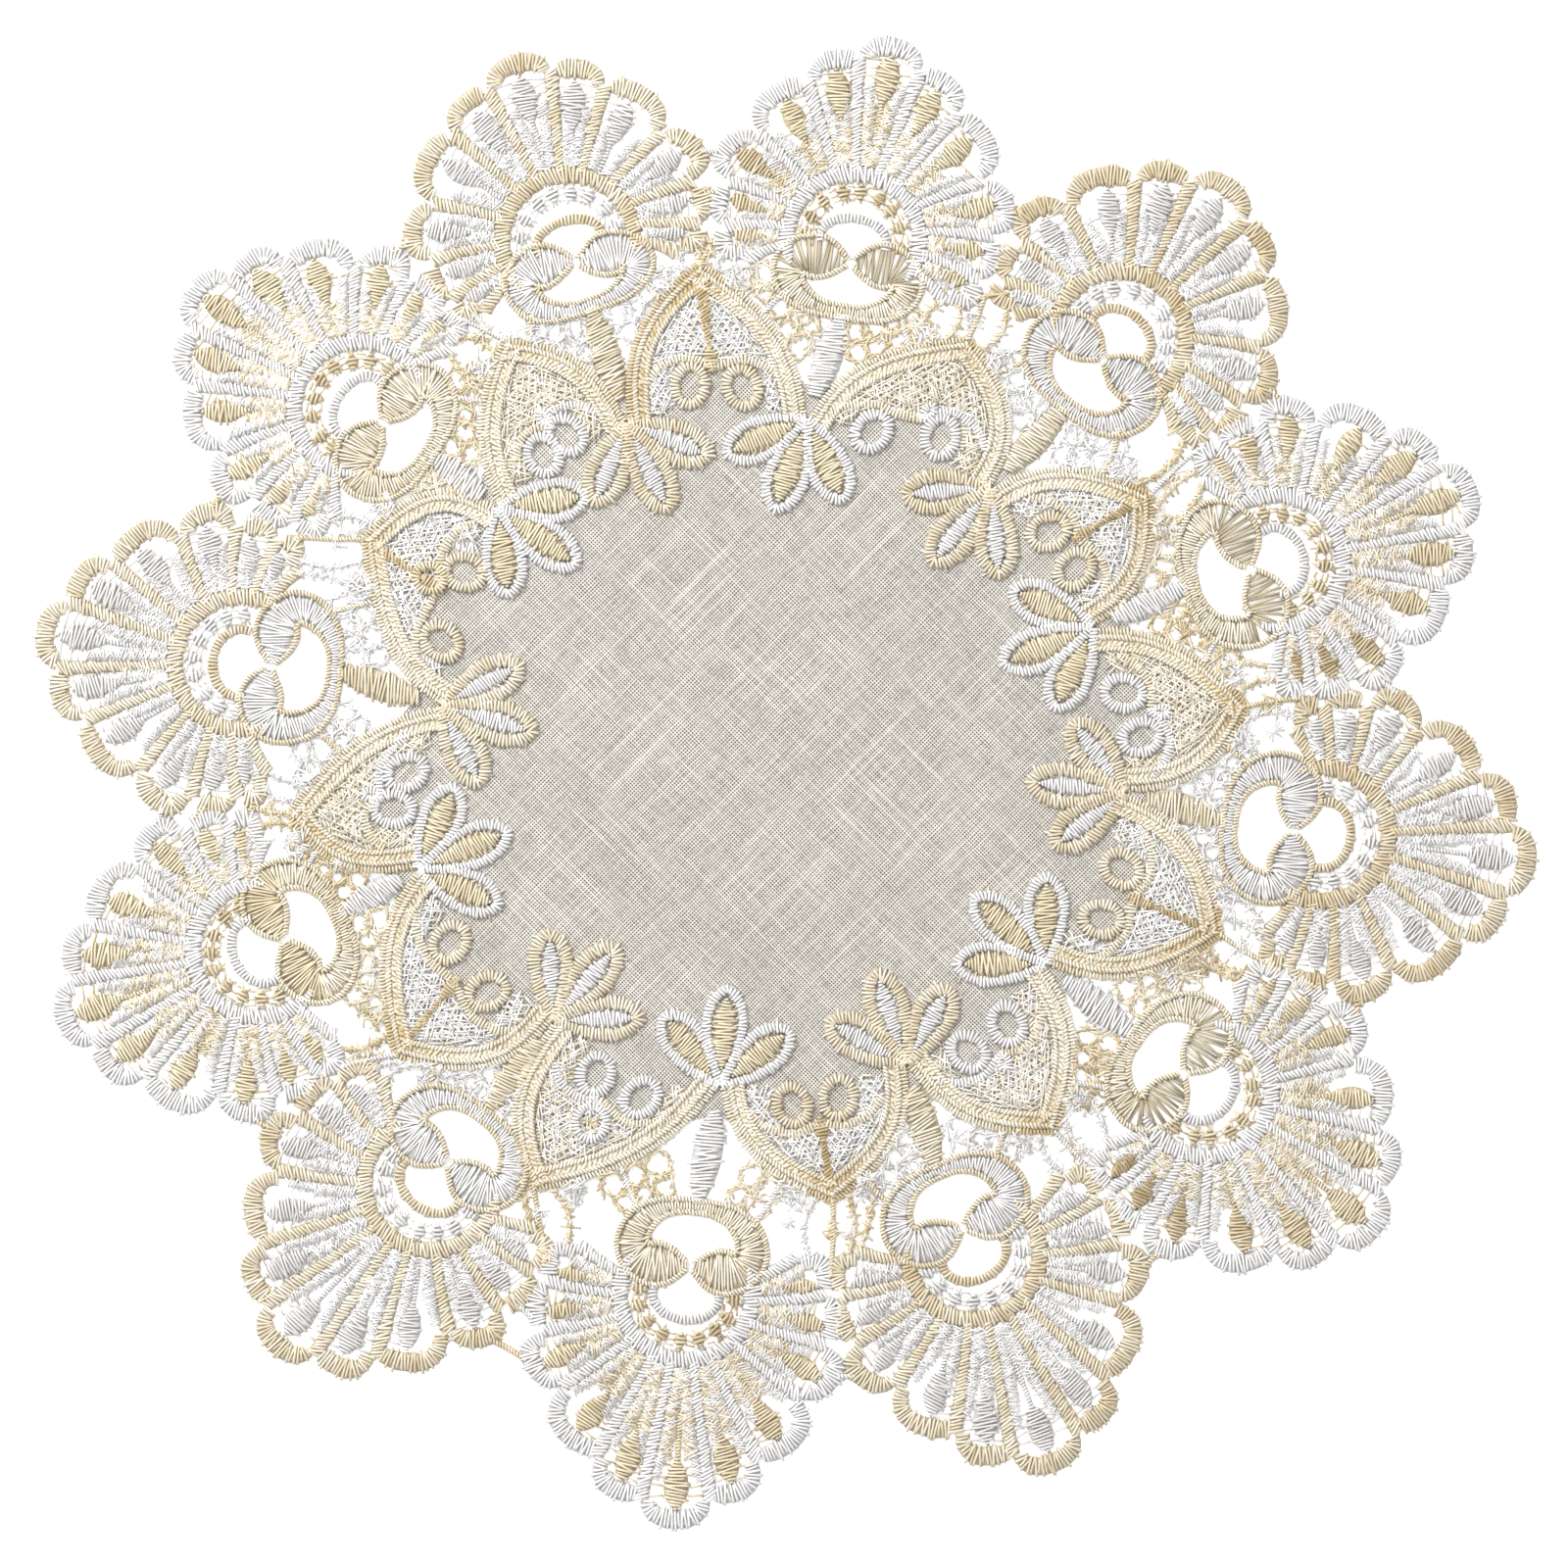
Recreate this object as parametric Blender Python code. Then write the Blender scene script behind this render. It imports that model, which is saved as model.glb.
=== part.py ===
"""Lace doily: a linen ground and, sewn over its edge, one guipure lace border of twelve fan units.

Built in plan, in millimetres, round the centre of the ring of fans, and then raised to solids. Each unit of the
border is a fan of eleven lobes on a horseshoe ring, two inward scrolls round a kidney-shaped gap, a leaf, and a
palmette of three petals; a pointed arch with a pair of small rings spans from each palmette to the next one.
"""

import math

import bmesh
import bpy
import numpy as np
from mathutils.geometry import delaunay_2d_cdt

MM = 0.001

# Cloth, in millimetres
LINEN_THICK = 1.0
SEWN_GAP = 0.3
LACE_EDGE = 1.0
HEM_INNER = 0.7
HEM_OUTER = 3.6

# Heights of the relief over the underside of the lace, in millimetres
CORD_HIGH = 1.55
LEAF_HIGH = 1.65
NET_LOW = 0.85

# Fan, in millimetres from the middle of its ring
HUB_RING = 11.6
HUB_INSIDE = 8.6
FAN_BACK = -5.0
FAN_BACK_HALF = 13.5
LOBE_STEPS = (-1.0, -0.72, -0.3, 0.3, 0.72)
TIP_SPREAD_DEG = 32.0
SPREAD_END_DEG = 115.0

# Scrolls and their gaps, in millimetres along the fan's axis and across it
SCROLL = {"along": -8.3, "half_along": 9.6, "half_across": 13.2}
KIDNEY = {"along": -11.3, "half_along": 3.2, "half_across": 7.4}
D_GAP = {"along": 0.2, "half_along": 3.9, "half_across": 5.0}
HORN_POINT = 1.9

# Arch: half width and rise are the distances between its palmettes and apex
ARCH_POWER = 2.7
ARCH_STEPS = 6
RING_ACROSS = 0.29
RING_UP = 4.8
RING_RADIUS = 3.3
BAY = ((0.54, 0.9), (0.3, 1.5), (0.0, 4.8))  # share of the half width, rise

# Palmette petals: turn from the inward direction in degrees, length in millimetres
PETALS = ((-47.0, 16.2), (0.0, 17.8), (43.0, 16.4))
PETAL_HALF = 4.0
LEAF_STEPS = ((0.0, 0.36), (0.3, 0.8), (0.6, 1.0), (0.85, 0.72), (0.97, 0.3))  # share of the length, of the half width
LEAF_START = 1.5
LEAF_HALF = 2.7

BAR_HALF = 0.75
BAR_FROM_SCROLL = (-13.6, 9.8)
WELD_RADIUS = 0.8

# Linen: how far it reaches beyond a palmette, and how far inside an arch's legs and apex it ends
LINEN_PAST_PALM = 5.0
LINEN_INSET = 1.0
LINEN_SHORT = 0.8
LINEN_SHARES = (0.42, 0.66, 0.86)  # of an arch's rise

# Gaps smaller than this, in square millimetres, stay closed with lace
LEAST_GAP = 7.0
LEAST_EDGE = 1.1
LEAST_BOW = 0.12

# Lobes of one half of a fan, from its axis: the angle of the tip and the leaf, the reach, and the notch after it
LOBE_COLUMNS = ("tip_deg", "leaf_deg", "reach_mm", "notch_deg", "notch_mm")
LOBE_ROWS = (
    (0.0, 0.0, 36.0, 10.3, 32.0),
    (16.8, 17.5, 33.3, 28.0, 28.8),
    (36.7, 37.5, 30.6, 53.5, 25.0),
    (68.3, 64.0, 29.0, 76.3, 24.4),
    (82.5, 83.0, 26.2, 95.5, 23.0),
    (103.5, 99.0, 24.6, 112.0, 19.5),
)
LOBES = [dict(zip(LOBE_COLUMNS, row)) for row in LOBE_ROWS]

# One row a unit, clockwise from the upper left: the fan's middle and its axis, the turn and spread of its lobes, the
# share of the table's lengths, the length added at the tip, the lean of the reach to one side, how open the scrolls
# are, the palmette and its turn, and the apex of the arch after it. Degrees, and millimetres from the ring's middle.
UNIT_COLUMNS = (
    "fan_deg", "fan_mm", "axis_deg", "turn", "spread", "size", "tip_mm", "skew", "open",
    "palm_deg", "palm_mm", "palm_turn", "apex_deg", "apex_mm",
)
UNIT_ROWS = (
    (112.5, 96.4, 108.4, -1.5, 1.08, 1.00, -2.1, 0.00, 0.72, 114.8, 63.4, 0.0, 99.4, 87.0),
    (82.0, 90.1, 81.2, -3.0, 1.00, 1.00, 0.1, 0.00, 0.77, 85.5, 58.5, -15.0, 65.7, 79.8),
    (50.9, 93.2, 51.6, 2.5, 1.09, 0.99, -1.7, 0.00, 0.92, 51.7, 59.0, 0.0, 35.1, 79.2),
    (21.3, 92.3, 15.8, 4.5, 1.01, 1.00, 1.2, 0.00, 0.95, 22.2, 58.4, 0.0, 5.9, 82.2),
    (-8.4, 94.9, -7.7, 0.0, 1.03, 1.02, 0.9, -0.03, 1.00, -6.3, 60.1, 0.0, -22.3, 83.2),
    (-38.3, 93.8, -37.6, -2.0, 0.97, 1.05, 1.7, 0.00, 0.93, -38.4, 58.6, -5.0, -54.0, 81.6),
    (-68.9, 92.7, -66.3, -3.0, 0.95, 1.06, 2.6, 0.00, 0.95, -68.0, 58.0, -4.0, -83.4, 78.7),
    (-100.0, 94.9, -97.4, 4.5, 0.94, 1.07, 2.6, 0.00, 0.93, -100.4, 58.4, 6.0, -119.7, 87.6),
    (-129.2, 96.1, -127.6, -6.5, 0.95, 1.05, 2.7, -0.02, 0.92, -130.5, 60.8, 0.0, -142.0, 85.6),
    (-159.4, 96.7, -155.2, -5.5, 1.02, 1.03, 0.4, 0.01, 0.92, -162.5, 66.0, 5.0, -173.2, 86.8),
    (170.4, 95.0, 174.9, -4.0, 1.04, 1.01, -0.1, 0.02, 1.00, 171.8, 59.6, -8.0, 152.7, 82.2),
    (140.5, 94.5, 146.6, -2.0, 0.98, 1.00, 0.9, 0.01, 0.87, 138.9, 65.2, 5.0, 123.7, 87.2),
)
UNITS = [dict(zip(UNIT_COLUMNS, row)) for row in UNIT_ROWS]

COLORS = {"linen": (0.64, 0.60, 0.54, 1.0), "lace": (0.82, 0.77, 0.66, 1.0)}


# ---------------------------------------------------------------- plan of one unit


def polar(deg, radius):
    """Point at an angle and a radius round the origin."""
    return (radius * math.cos(math.radians(deg)), radius * math.sin(math.radians(deg)))


def towards(a, b, share):
    """Point a share of the way from a to b."""
    return (a[0] + (b[0] - a[0]) * share, a[1] + (b[1] - a[1]) * share)


def unit(i):
    return UNITS[i % len(UNITS)]


def on_fan(row, along, across):
    """Point of a unit, given along its fan's axis and across it."""
    hub = polar(row["fan_deg"], row["fan_mm"])
    c, s = polar(row["axis_deg"], 1.0)
    return (hub[0] + along * c - across * s, hub[1] + along * s + across * c)


def on_fan_polar(row, deg, radius):
    return on_fan(row, *polar(deg, radius))


def on_scroll(row, along, across):
    """Point of the scrolls, drawn together along the axis by the unit's own share."""
    return on_fan(row, along * row["open"], across)


def ellipse(row, form, count, put):
    """Closed outline of an ellipse that is given along and across a unit."""
    points = []
    for k in range(count):
        c, s = polar(360.0 * k / count, 1.0)
        points.append(put(row, form["along"] + form["half_along"] * c, form["half_across"] * s))
    return points


def reach_at(row, deg, length):
    """Length from the fan's middle at an angle, as this unit has it."""
    lean = 1 + row["skew"] * math.sin(math.radians(deg))
    return length * row["size"] * lean + row["tip_mm"] * math.exp(-((deg / TIP_SPREAD_DEG) ** 2))


def turned(row, side, deg):
    """Angle of a lobe's part on one side of this unit; the spread dies away towards the last lobe."""
    extra = (row["spread"] - 1) * max(0.0, 1 - (deg / SPREAD_END_DEG) ** 4)
    return row["turn"] + side * deg * (1 + extra)


def lobes_of(row):
    """Lobes of a unit's fan from one side to the other: angles, reach and the notches beside it."""
    out = []
    for side in (1, -1):
        half = []
        before = None
        for lobe in LOBES:
            notch_deg = turned(row, side, lobe["notch_deg"])
            notch = (notch_deg, reach_at(row, notch_deg, lobe["notch_mm"]))
            deg = turned(row, side, lobe["tip_deg"])
            half.append({
                "tip_deg": deg,
                "leaf_deg": turned(row, side, lobe["leaf_deg"]),
                "reach": reach_at(row, deg, lobe["reach_mm"]),
                "notches": (notch, before) if side > 0 else (before, notch),
            })
            before = notch
        out += half[::-1] if side > 0 else half[1:]
    middle = out[len(LOBES) - 1]
    middle["notches"] = (middle["notches"][0], out[len(LOBES)]["notches"][0])
    return out


def fan_outline(row):
    """Scalloped outline of a fan, closed behind its ring."""
    points = []
    for lobe in lobes_of(row):
        before, after = lobe["notches"]
        for t in LOBE_STEPS:
            side = before if t < 0 else after
            angle = lobe["tip_deg"] + (side[0] - lobe["tip_deg"]) * abs(t)
            base = before[1] + (after[1] - before[1]) * (t + 1) / 2
            radius = base + (lobe["reach"] - base) * (1 - abs(t) ** 2.4) ** 0.55
            points.append(on_fan_polar(row, angle, radius))
    points.append(on_fan_polar(row, *lobe["notches"][1]))
    points.append(on_fan(row, FAN_BACK, -FAN_BACK_HALF))
    points.append(on_fan(row, FAN_BACK, FAN_BACK_HALF))
    return points


def kidney_outline(row):
    """Gap inside the scrolls, drawn out to a point where their heads nearly meet."""
    points = ellipse(row, KIDNEY, 12, on_scroll)
    tip = on_scroll(row, KIDNEY["along"] + KIDNEY["half_along"] + HORN_POINT, 0.0)
    return [tip] + points[1:]


def leaf_outline(start, end, half):
    """Leaf from start to end, narrow at its start and round at its end."""
    length = math.dist(start, end)
    out = ((end[0] - start[0]) / length, (end[1] - start[1]) / length)
    left, right = [], []
    for t, share in LEAF_STEPS:
        x, y = towards(start, end, t)
        left.append((x + out[1] * half * share, y - out[0] * half * share))
        right.append((x - out[1] * half * share, y + out[0] * half * share))
    return left + [end] + right[::-1]


def palm(i):
    row = unit(i)
    return polar(row["palm_deg"], row["palm_mm"])


def petal_tips(i):
    """End of each petal of a palmette."""
    row = unit(i)
    base = palm(i)
    inward = row["palm_deg"] + 180.0
    tips = []
    for turn, length in PETALS:
        step = polar(inward + turn + row["palm_turn"], length)
        tips.append((base[0] + step[0], base[1] + step[1]))
    return tips


def leaf_ends(i):
    """The leaf between a palmette and the scrolls."""
    row = unit(i)
    outer = on_scroll(row, SCROLL["along"] - SCROLL["half_along"] + 0.8, 0.0)
    base = palm(i)
    return towards(base, outer, LEAF_START / math.dist(base, outer)), outer


def on_arch(i, across, up):
    """Point of the arch after unit i: share of its half width across, millimetres up from its chord."""
    a, b = palm(i), palm(i + 1)
    middle = towards(a, b, 0.5)
    apex = polar(unit(i)["apex_deg"], unit(i)["apex_mm"])
    rise = math.dist(middle, apex)
    x, y = towards(middle, b, across)
    return (x + (apex[0] - middle[0]) * up / rise, y + (apex[1] - middle[1]) * up / rise)


def arch_rise(i):
    middle = towards(palm(i), palm(i + 1), 0.5)
    return math.dist(middle, polar(unit(i)["apex_deg"], unit(i)["apex_mm"]))


def arch_leg(i, side, share, steps):
    """Points of one leg, from its palmette to just before the apex, at a share of the arch's size."""
    rise = arch_rise(i) * share
    points = []
    for j in range(steps):
        t = (j / steps) ** 0.75
        points.append(on_arch(i, side * share * (1 - t**ARCH_POWER), rise * t))
    return points


def arch_outline(i):
    """Pointed arch with a bay in its base, below the pair of rings."""
    left = arch_leg(i, -1, 1.0, ARCH_STEPS)
    right = arch_leg(i, 1, 1.0, ARCH_STEPS)
    bay = [on_arch(i, share, up) for share, up in BAY]
    bay += [on_arch(i, -share, up) for share, up in reversed(BAY[:-1])]
    return left + [on_arch(i, 0.0, arch_rise(i))] + right[::-1] + bay


def bar_outline(a, b):
    """Straight thread bar, a little into what it joins at each end."""
    length = math.dist(a, b)
    x, y = (b[0] - a[0]) / length, (b[1] - a[1]) / length
    w = BAR_HALF
    return [
        (a[0] - y * w - x * w, a[1] + x * w - y * w),
        (a[0] + y * w - x * w, a[1] - x * w - y * w),
        (b[0] + y * w + x * w, b[1] - x * w + y * w),
        (b[0] - y * w + x * w, b[1] + x * w + y * w),
    ]


def bars_of(i):
    """Bars that tie the arch after unit i to the scrolls, and the side lobes of its two fans to each other."""
    rise = arch_rise(i)
    last, first = lobes_of(unit(i)), lobes_of(unit(i + 1))
    bars = []
    for side, row in ((-1, unit(i)), (1, unit(i + 1))):
        start = on_scroll(row, BAR_FROM_SCROLL[0], side * BAR_FROM_SCROLL[1])
        leg = arch_leg(i, side, 0.98, 24)
        bars.append((start, min(leg, key=lambda p: math.dist(p, start))))
    ends = []
    for k in range(3):
        a, b = last[-1 - k], first[k]
        ends.append((
            on_fan_polar(unit(i), a["tip_deg"], a["reach"] - 1.0),
            on_fan_polar(unit(i + 1), b["tip_deg"], b["reach"] - 1.0),
        ))
    bars += ends
    bars.append((on_arch(i, 0.0, rise * 0.97), towards(*ends[0], 0.5)))
    return bars


# ---------------------------------------------------------------- linen edge in plan


def linen_edge():
    """(angle, radius) round the linen's cut edge, a little inside the arches."""
    points = []
    for i, row in enumerate(UNITS):
        wide = 1 - LINEN_INSET / (math.dist(palm(i), palm(i + 1)) / 2)
        points.append((row["palm_deg"], row["palm_mm"] + LINEN_PAST_PALM))
        leg = [on_arch(i, -wide * (1 - t**ARCH_POWER), arch_rise(i) * t) for t in LINEN_SHARES]
        leg.append(polar(row["apex_deg"], row["apex_mm"] - LINEN_SHORT))
        leg += [on_arch(i, wide * (1 - t**ARCH_POWER), arch_rise(i) * t) for t in LINEN_SHARES[::-1]]
        points += [(math.degrees(math.atan2(y, x)), math.hypot(x, y)) for x, y in leg]
    return points


def edge_radius(edge, deg, offset):
    """Radius of the linen's edge, moved out by offset, at an angle."""
    for (deg_a, r_a), (deg_b, r_b) in zip(edge, edge[1:] + edge[:1]):
        span = (deg_a - deg_b) % 360.0
        turn = (deg_a - deg) % 360.0
        if turn <= span:
            r_a, r_b = r_a + offset, r_b + offset
            full, part = math.radians(span), math.radians(turn)
            return r_a * r_b * math.sin(full) / (r_a * math.sin(part) + r_b * math.sin(full - part))
    raise ValueError("angle outside the edge")


def underside(edge, point):
    """Height of the lace's underside: over the linen, down a short slope past its edge, then on the table."""
    deg = math.degrees(math.atan2(point[1], point[0]))
    inner = edge_radius(edge, deg, HEM_INNER)
    outer = edge_radius(edge, deg, HEM_OUTER)
    t = (math.hypot(*point) - inner) / (outer - inner)
    return (LINEN_THICK + SEWN_GAP) * (1 - min(1.0, max(0.0, t)))


# ---------------------------------------------------------------- lace in plan


def lace_shapes():
    """Outlines whose union is the lace, and outlines of the gaps in it."""
    shapes, gaps = [], []
    for i, row in enumerate(UNITS):
        shapes.append(fan_outline(row))
        shapes.append(ellipse(row, SCROLL, 18, on_scroll))
        shapes.append(arch_outline(i))
        shapes.append(leaf_outline(*leaf_ends(i), LEAF_HALF))
        for tip in petal_tips(i):
            shapes.append(leaf_outline(palm(i), tip, PETAL_HALF))
        for a, b in bars_of(i):
            shapes.append(bar_outline(a, b))
        gaps.append(ellipse(row, D_GAP, 10, on_scroll))
        gaps.append(kidney_outline(row))
    return shapes, gaps


def relief_points():
    """(point, height) of the raised cords and leaves and of the lower net between them."""
    out = []
    for i, row in enumerate(UNITS):
        for lobe in lobes_of(row):
            notch_deg, notch_r = lobe["notches"][1]
            out.append((on_fan_polar(row, lobe["tip_deg"], lobe["reach"] - 1.7), CORD_HIGH))
            out.append((on_fan_polar(row, lobe["leaf_deg"], lobe["reach"] - 7.0), LEAF_HIGH))
            out.append((on_fan_polar(row, notch_deg, notch_r - 3.0), CORD_HIGH))
            out.append((on_fan_polar(row, notch_deg, notch_r - 8.0), NET_LOW))
        for k in range(-3, 4):
            out.append((on_fan_polar(row, 33.0 * k, HUB_RING), CORD_HIGH + 0.1))
        for k in range(-1, 2):
            out.append((on_fan_polar(row, 50.0 * k, HUB_INSIDE), NET_LOW))
        for side in (-1, 1):
            out.append((on_scroll(row, -4.0, side * 8.6), LEAF_HIGH))
            out.append((on_scroll(row, -11.0, side * 10.4), LEAF_HIGH))
            out.append((on_scroll(row, -16.2, side * 4.4), LEAF_HIGH))
        for share in (0.35, 0.7):
            out.append((towards(*leaf_ends(i), share), LEAF_HIGH))
        for tip in petal_tips(i):
            for share in (0.42, 0.72):
                out.append((towards(palm(i), tip, share), LEAF_HIGH))
        for side in (-1, 1):
            for p in arch_leg(i, side, 0.86, 5)[1:]:
                out.append((p, CORD_HIGH))
            for p in arch_leg(i, side, 0.62, 4)[2:]:
                out.append((p, NET_LOW))
            out.append((on_arch(i, side * RING_ACROSS, RING_UP), NET_LOW - 0.2))
            x, y = on_arch(i, side * RING_ACROSS, RING_UP)
            for turn in (60.0, 180.0, 300.0):
                p = polar(unit(i)["apex_deg"] + turn, RING_RADIUS * 0.72)
                out.append(((x + p[0], y + p[1]), CORD_HIGH))
        out.append((on_arch(i, 0.0, RING_UP + 5.0), LEAF_HIGH))
        out.append((on_arch(i, 0.0, arch_rise(i) * 0.90), CORD_HIGH))
    return out


def triangulate(points, edges, faces):
    """Constrained triangles of a plan: points, triangles, and the input faces over each triangle."""
    result = delaunay_2d_cdt(points, edges, faces, 0, 1e-4, True)
    return [tuple(v) for v in result[0]], result[2], result[5]


def neighbours(triangles):
    """Edge to the triangles on it."""
    table = {}
    for t, tri in enumerate(triangles):
        for a, b in zip(tri, tri[1:] + tri[:1]):
            table.setdefault((min(a, b), max(a, b)), []).append(t)
    return table


def area(points, tri):
    (ax, ay), (bx, by), (cx, cy) = (points[v] for v in tri)
    return ((bx - ax) * (cy - ay) - (cx - ax) * (by - ay)) / 2


def groups(triangles, chosen):
    """Connected groups of the chosen triangles."""
    table = neighbours(triangles)
    beside = {t: [] for t in chosen}
    for pair in table.values():
        if len(pair) == 2 and pair[0] in beside and pair[1] in beside:
            beside[pair[0]].append(pair[1])
            beside[pair[1]].append(pair[0])
    seen, out = set(), []
    for t in sorted(chosen):
        if t in seen:
            continue
        seen.add(t)
        group, queue = [], [t]
        while queue:
            now = queue.pop()
            group.append(now)
            for other in beside[now]:
                if other not in seen:
                    seen.add(other)
                    queue.append(other)
        out.append(group)
    return out


def outline_edges(triangles, inside):
    """Directed edges with the inside on their left and nothing on their right."""
    own = set()
    for t in inside:
        tri = triangles[t]
        own.update(zip(tri, tri[1:] + tri[:1]))
    return [(a, b) for a, b in own if (b, a) not in own]


def loops_of(edges):
    """Closed loops of directed edges."""
    after = dict(edges)
    loops = []
    while after:
        start, now = next(iter(after)), None
        loop = [start]
        now = after.pop(start)
        while now != start:
            loop.append(now)
            now = after.pop(now)
        loops.append(loop)
    return loops


def hull_groups(triangles, chosen):
    """Groups of the chosen triangles, each with whether it reaches the outside of the plan."""
    rim = {on[0] for on in neighbours(triangles).values() if len(on) == 1}
    return [(group, bool(rim.intersection(group))) for group in groups(triangles, chosen)]


def covered(shapes, gaps):
    """Points and triangles of the union of the shapes less the gaps, with the small gaps closed."""
    points, faces = [], []
    for shape in shapes + gaps:
        faces.append(list(range(len(points), len(points) + len(shape))))
        points.extend(shape if signed_area(shape) > 0 else reversed(shape))
    points, triangles, over = triangulate(points, [], faces)
    triangles = [oriented(points, tri) for tri in triangles]
    first_gap = len(shapes)
    inside = {t for t, ids in enumerate(over) if ids and max(ids) < first_gap}
    for group, reaches_out in hull_groups(triangles, set(range(len(triangles))) - inside):
        if not reaches_out and sum(area(points, triangles[t]) for t in group) < LEAST_GAP:
            inside.update(group)
    return points, triangles, inside


def union_loops(shapes, gaps):
    """Outlines of the union of the shapes less the gaps; a knot is sewn where it would meet in a single point."""
    shapes = list(shapes)
    for _ in range(6):
        points, triangles, inside = covered(shapes, gaps)
        edges = outline_edges(triangles, inside)
        starts = [a for a, _ in edges]
        pinched = sorted({a for a in starts if starts.count(a) > 1})
        if not pinched:
            return [[points[v] for v in loop] for loop in loops_of(edges)]
        for v in pinched:
            x, y = points[v]
            shapes.append([(x + p[0], y + p[1]) for p in (polar(60.0 * k + 7.0, WELD_RADIUS) for k in range(6))])
    raise ValueError("a pinched point stays open")


def simplified(loop):
    """Loop without short edges and without points that hardly bend it."""
    points = list(loop)
    changed = True
    while changed and len(points) > 5:
        changed = False
        for k in range(len(points)):
            a, b, c = points[k - 1], points[k], points[(k + 1) % len(points)]
            base = math.dist(a, c)
            bow = abs((b[0] - a[0]) * (c[1] - a[1]) - (b[1] - a[1]) * (c[0] - a[0])) / max(base, 1e-6)
            if bow < LEAST_BOW or (math.dist(a, b) < LEAST_EDGE and bow < LEAST_EDGE / 2):
                points.pop(k)
                changed = True
                break
    return points


def signed_area(loop):
    return sum(a[0] * b[1] - b[0] * a[1] for a, b in zip(loop, loop[1:] + loop[:1])) / 2


# ---------------------------------------------------------------- solids


def inside_triangles(points, triangles, loops):
    """Triangles whose middle lies in an odd number of loops."""
    middles = np.array([[sum(points[v][k] for v in tri) / 3 for k in (0, 1)] for tri in triangles])
    odd = np.zeros(len(triangles), dtype=bool)
    for loop in loops:
        ring = np.array(loop)
        for (ax, ay), (bx, by) in zip(ring, np.roll(ring, -1, axis=0)):
            if ay == by:
                continue
            cross = (middles[:, 1] < ay) != (middles[:, 1] < by)
            odd ^= cross & (middles[:, 0] < ax + (middles[:, 1] - ay) * (bx - ax) / (by - ay))
    return [t for t in range(len(triangles)) if odd[t]]


def oriented(points, tri):
    return tuple(tri) if area(points, tri) > 0 else tuple(reversed(tri))


def clear_of(points, ring_edges, kept):
    """Relief points that stay a little apart from the outline and from each other."""
    ends = np.array([[*points[a], *points[b]] for a, b in ring_edges])
    start, step = ends[:, :2], ends[:, 2:] - ends[:, :2]
    length2 = np.maximum((step**2).sum(axis=1), 1e-9)
    out = []
    for point, high in kept:
        p = np.array(point)
        t = np.clip(((p - start) * step).sum(axis=1) / length2, 0, 1)
        if np.hypot(*(p - start - step * t[:, None]).T).min() < 0.7:
            continue
        if any(math.dist(point, other) < 0.9 for other, _ in out):
            continue
        out.append((point, high))
    return out


def lace_mesh(loops, edge):
    """Vertices and faces of the lace, in millimetres."""
    points, edges = [], []
    for loop in loops:
        first = len(points)
        edges += [(first + k, first + (k + 1) % len(loop)) for k in range(len(loop))]
        points.extend(loop)
    for offset in (HEM_INNER, HEM_OUTER):
        first = len(points)
        ring = [polar(deg, radius + offset) for deg, radius in edge]
        edges += [(first + k, first + (k + 1) % len(ring)) for k in range(len(ring))]
        points.extend(ring)
    flat, triangles, _ = triangulate(points, edges, [])
    low = [oriented(flat, triangles[t]) for t in inside_triangles(flat, triangles, loops)]
    used = sorted({v for tri in low for v in tri})
    place = {v: k for k, v in enumerate(used)}
    flat = [flat[v] for v in used]
    low = [tuple(place[v] for v in tri) for tri in low]
    walls = outline_edges(low, range(len(low)))
    hems = [pair for pair, on in neighbours(low).items() if len(on) == 2 and on_hem(flat, pair, edge)]
    raised = clear_of(flat, walls, relief_points())
    plan = flat + [point for point, _ in raised]
    top_points, triangles, _ = triangulate(plan, walls + hems, [])
    high = [oriented(top_points, triangles[t]) for t in inside_triangles(top_points, triangles, loops)]
    base = [underside(edge, p) for p in top_points]
    thick = [LACE_EDGE] * len(flat) + [high_mm for _, high_mm in raised]
    thick += [LACE_EDGE] * (len(top_points) - len(thick))
    vertices = [(x, y, z + t) for (x, y), z, t in zip(top_points, base, thick)]
    below = len(vertices)
    vertices += [(x, y, underside(edge, (x, y))) for x, y in flat]
    faces = list(high)
    faces += [tuple(below + v for v in reversed(tri)) for tri in low]
    for a, b in walls:
        faces.append((below + a, below + b, b, a))
    return vertices, faces


def on_hem(points, pair, edge):
    """Whether both ends of an edge lie on the same line of the hem's slope."""
    heights = []
    for v in pair:
        deg = math.degrees(math.atan2(points[v][1], points[v][0]))
        radius = math.hypot(*points[v])
        heights.append([abs(radius - edge_radius(edge, deg, off)) < 0.02 for off in (HEM_INNER, HEM_OUTER)])
    return any(a and b for a, b in zip(*heights))


def solid(name, vertices, faces, shift, color):
    """Object of a closed mesh given in millimetres."""
    mesh = bpy.data.meshes.new(name)
    mesh.from_pydata([tuple((v[k] - shift[k]) * MM for k in range(3)) for v in vertices], [], faces)
    shape = bmesh.new()
    shape.from_mesh(mesh)
    bmesh.ops.delete(shape, geom=[v for v in shape.verts if not v.link_faces], context="VERTS")
    bmesh.ops.triangulate(shape, faces=shape.faces[:])
    bmesh.ops.recalc_face_normals(shape, faces=shape.faces[:])
    shape.to_mesh(mesh)
    shape.free()
    material = bpy.data.materials.new(name)
    material.use_nodes = True
    principled = material.node_tree.nodes["Principled BSDF"]
    principled.inputs["Base Color"].default_value = color
    principled.inputs["Roughness"].default_value = 0.9
    mesh.materials.append(material)
    item = bpy.data.objects.new(name, mesh)
    bpy.context.scene.collection.objects.link(item)
    return item


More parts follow.
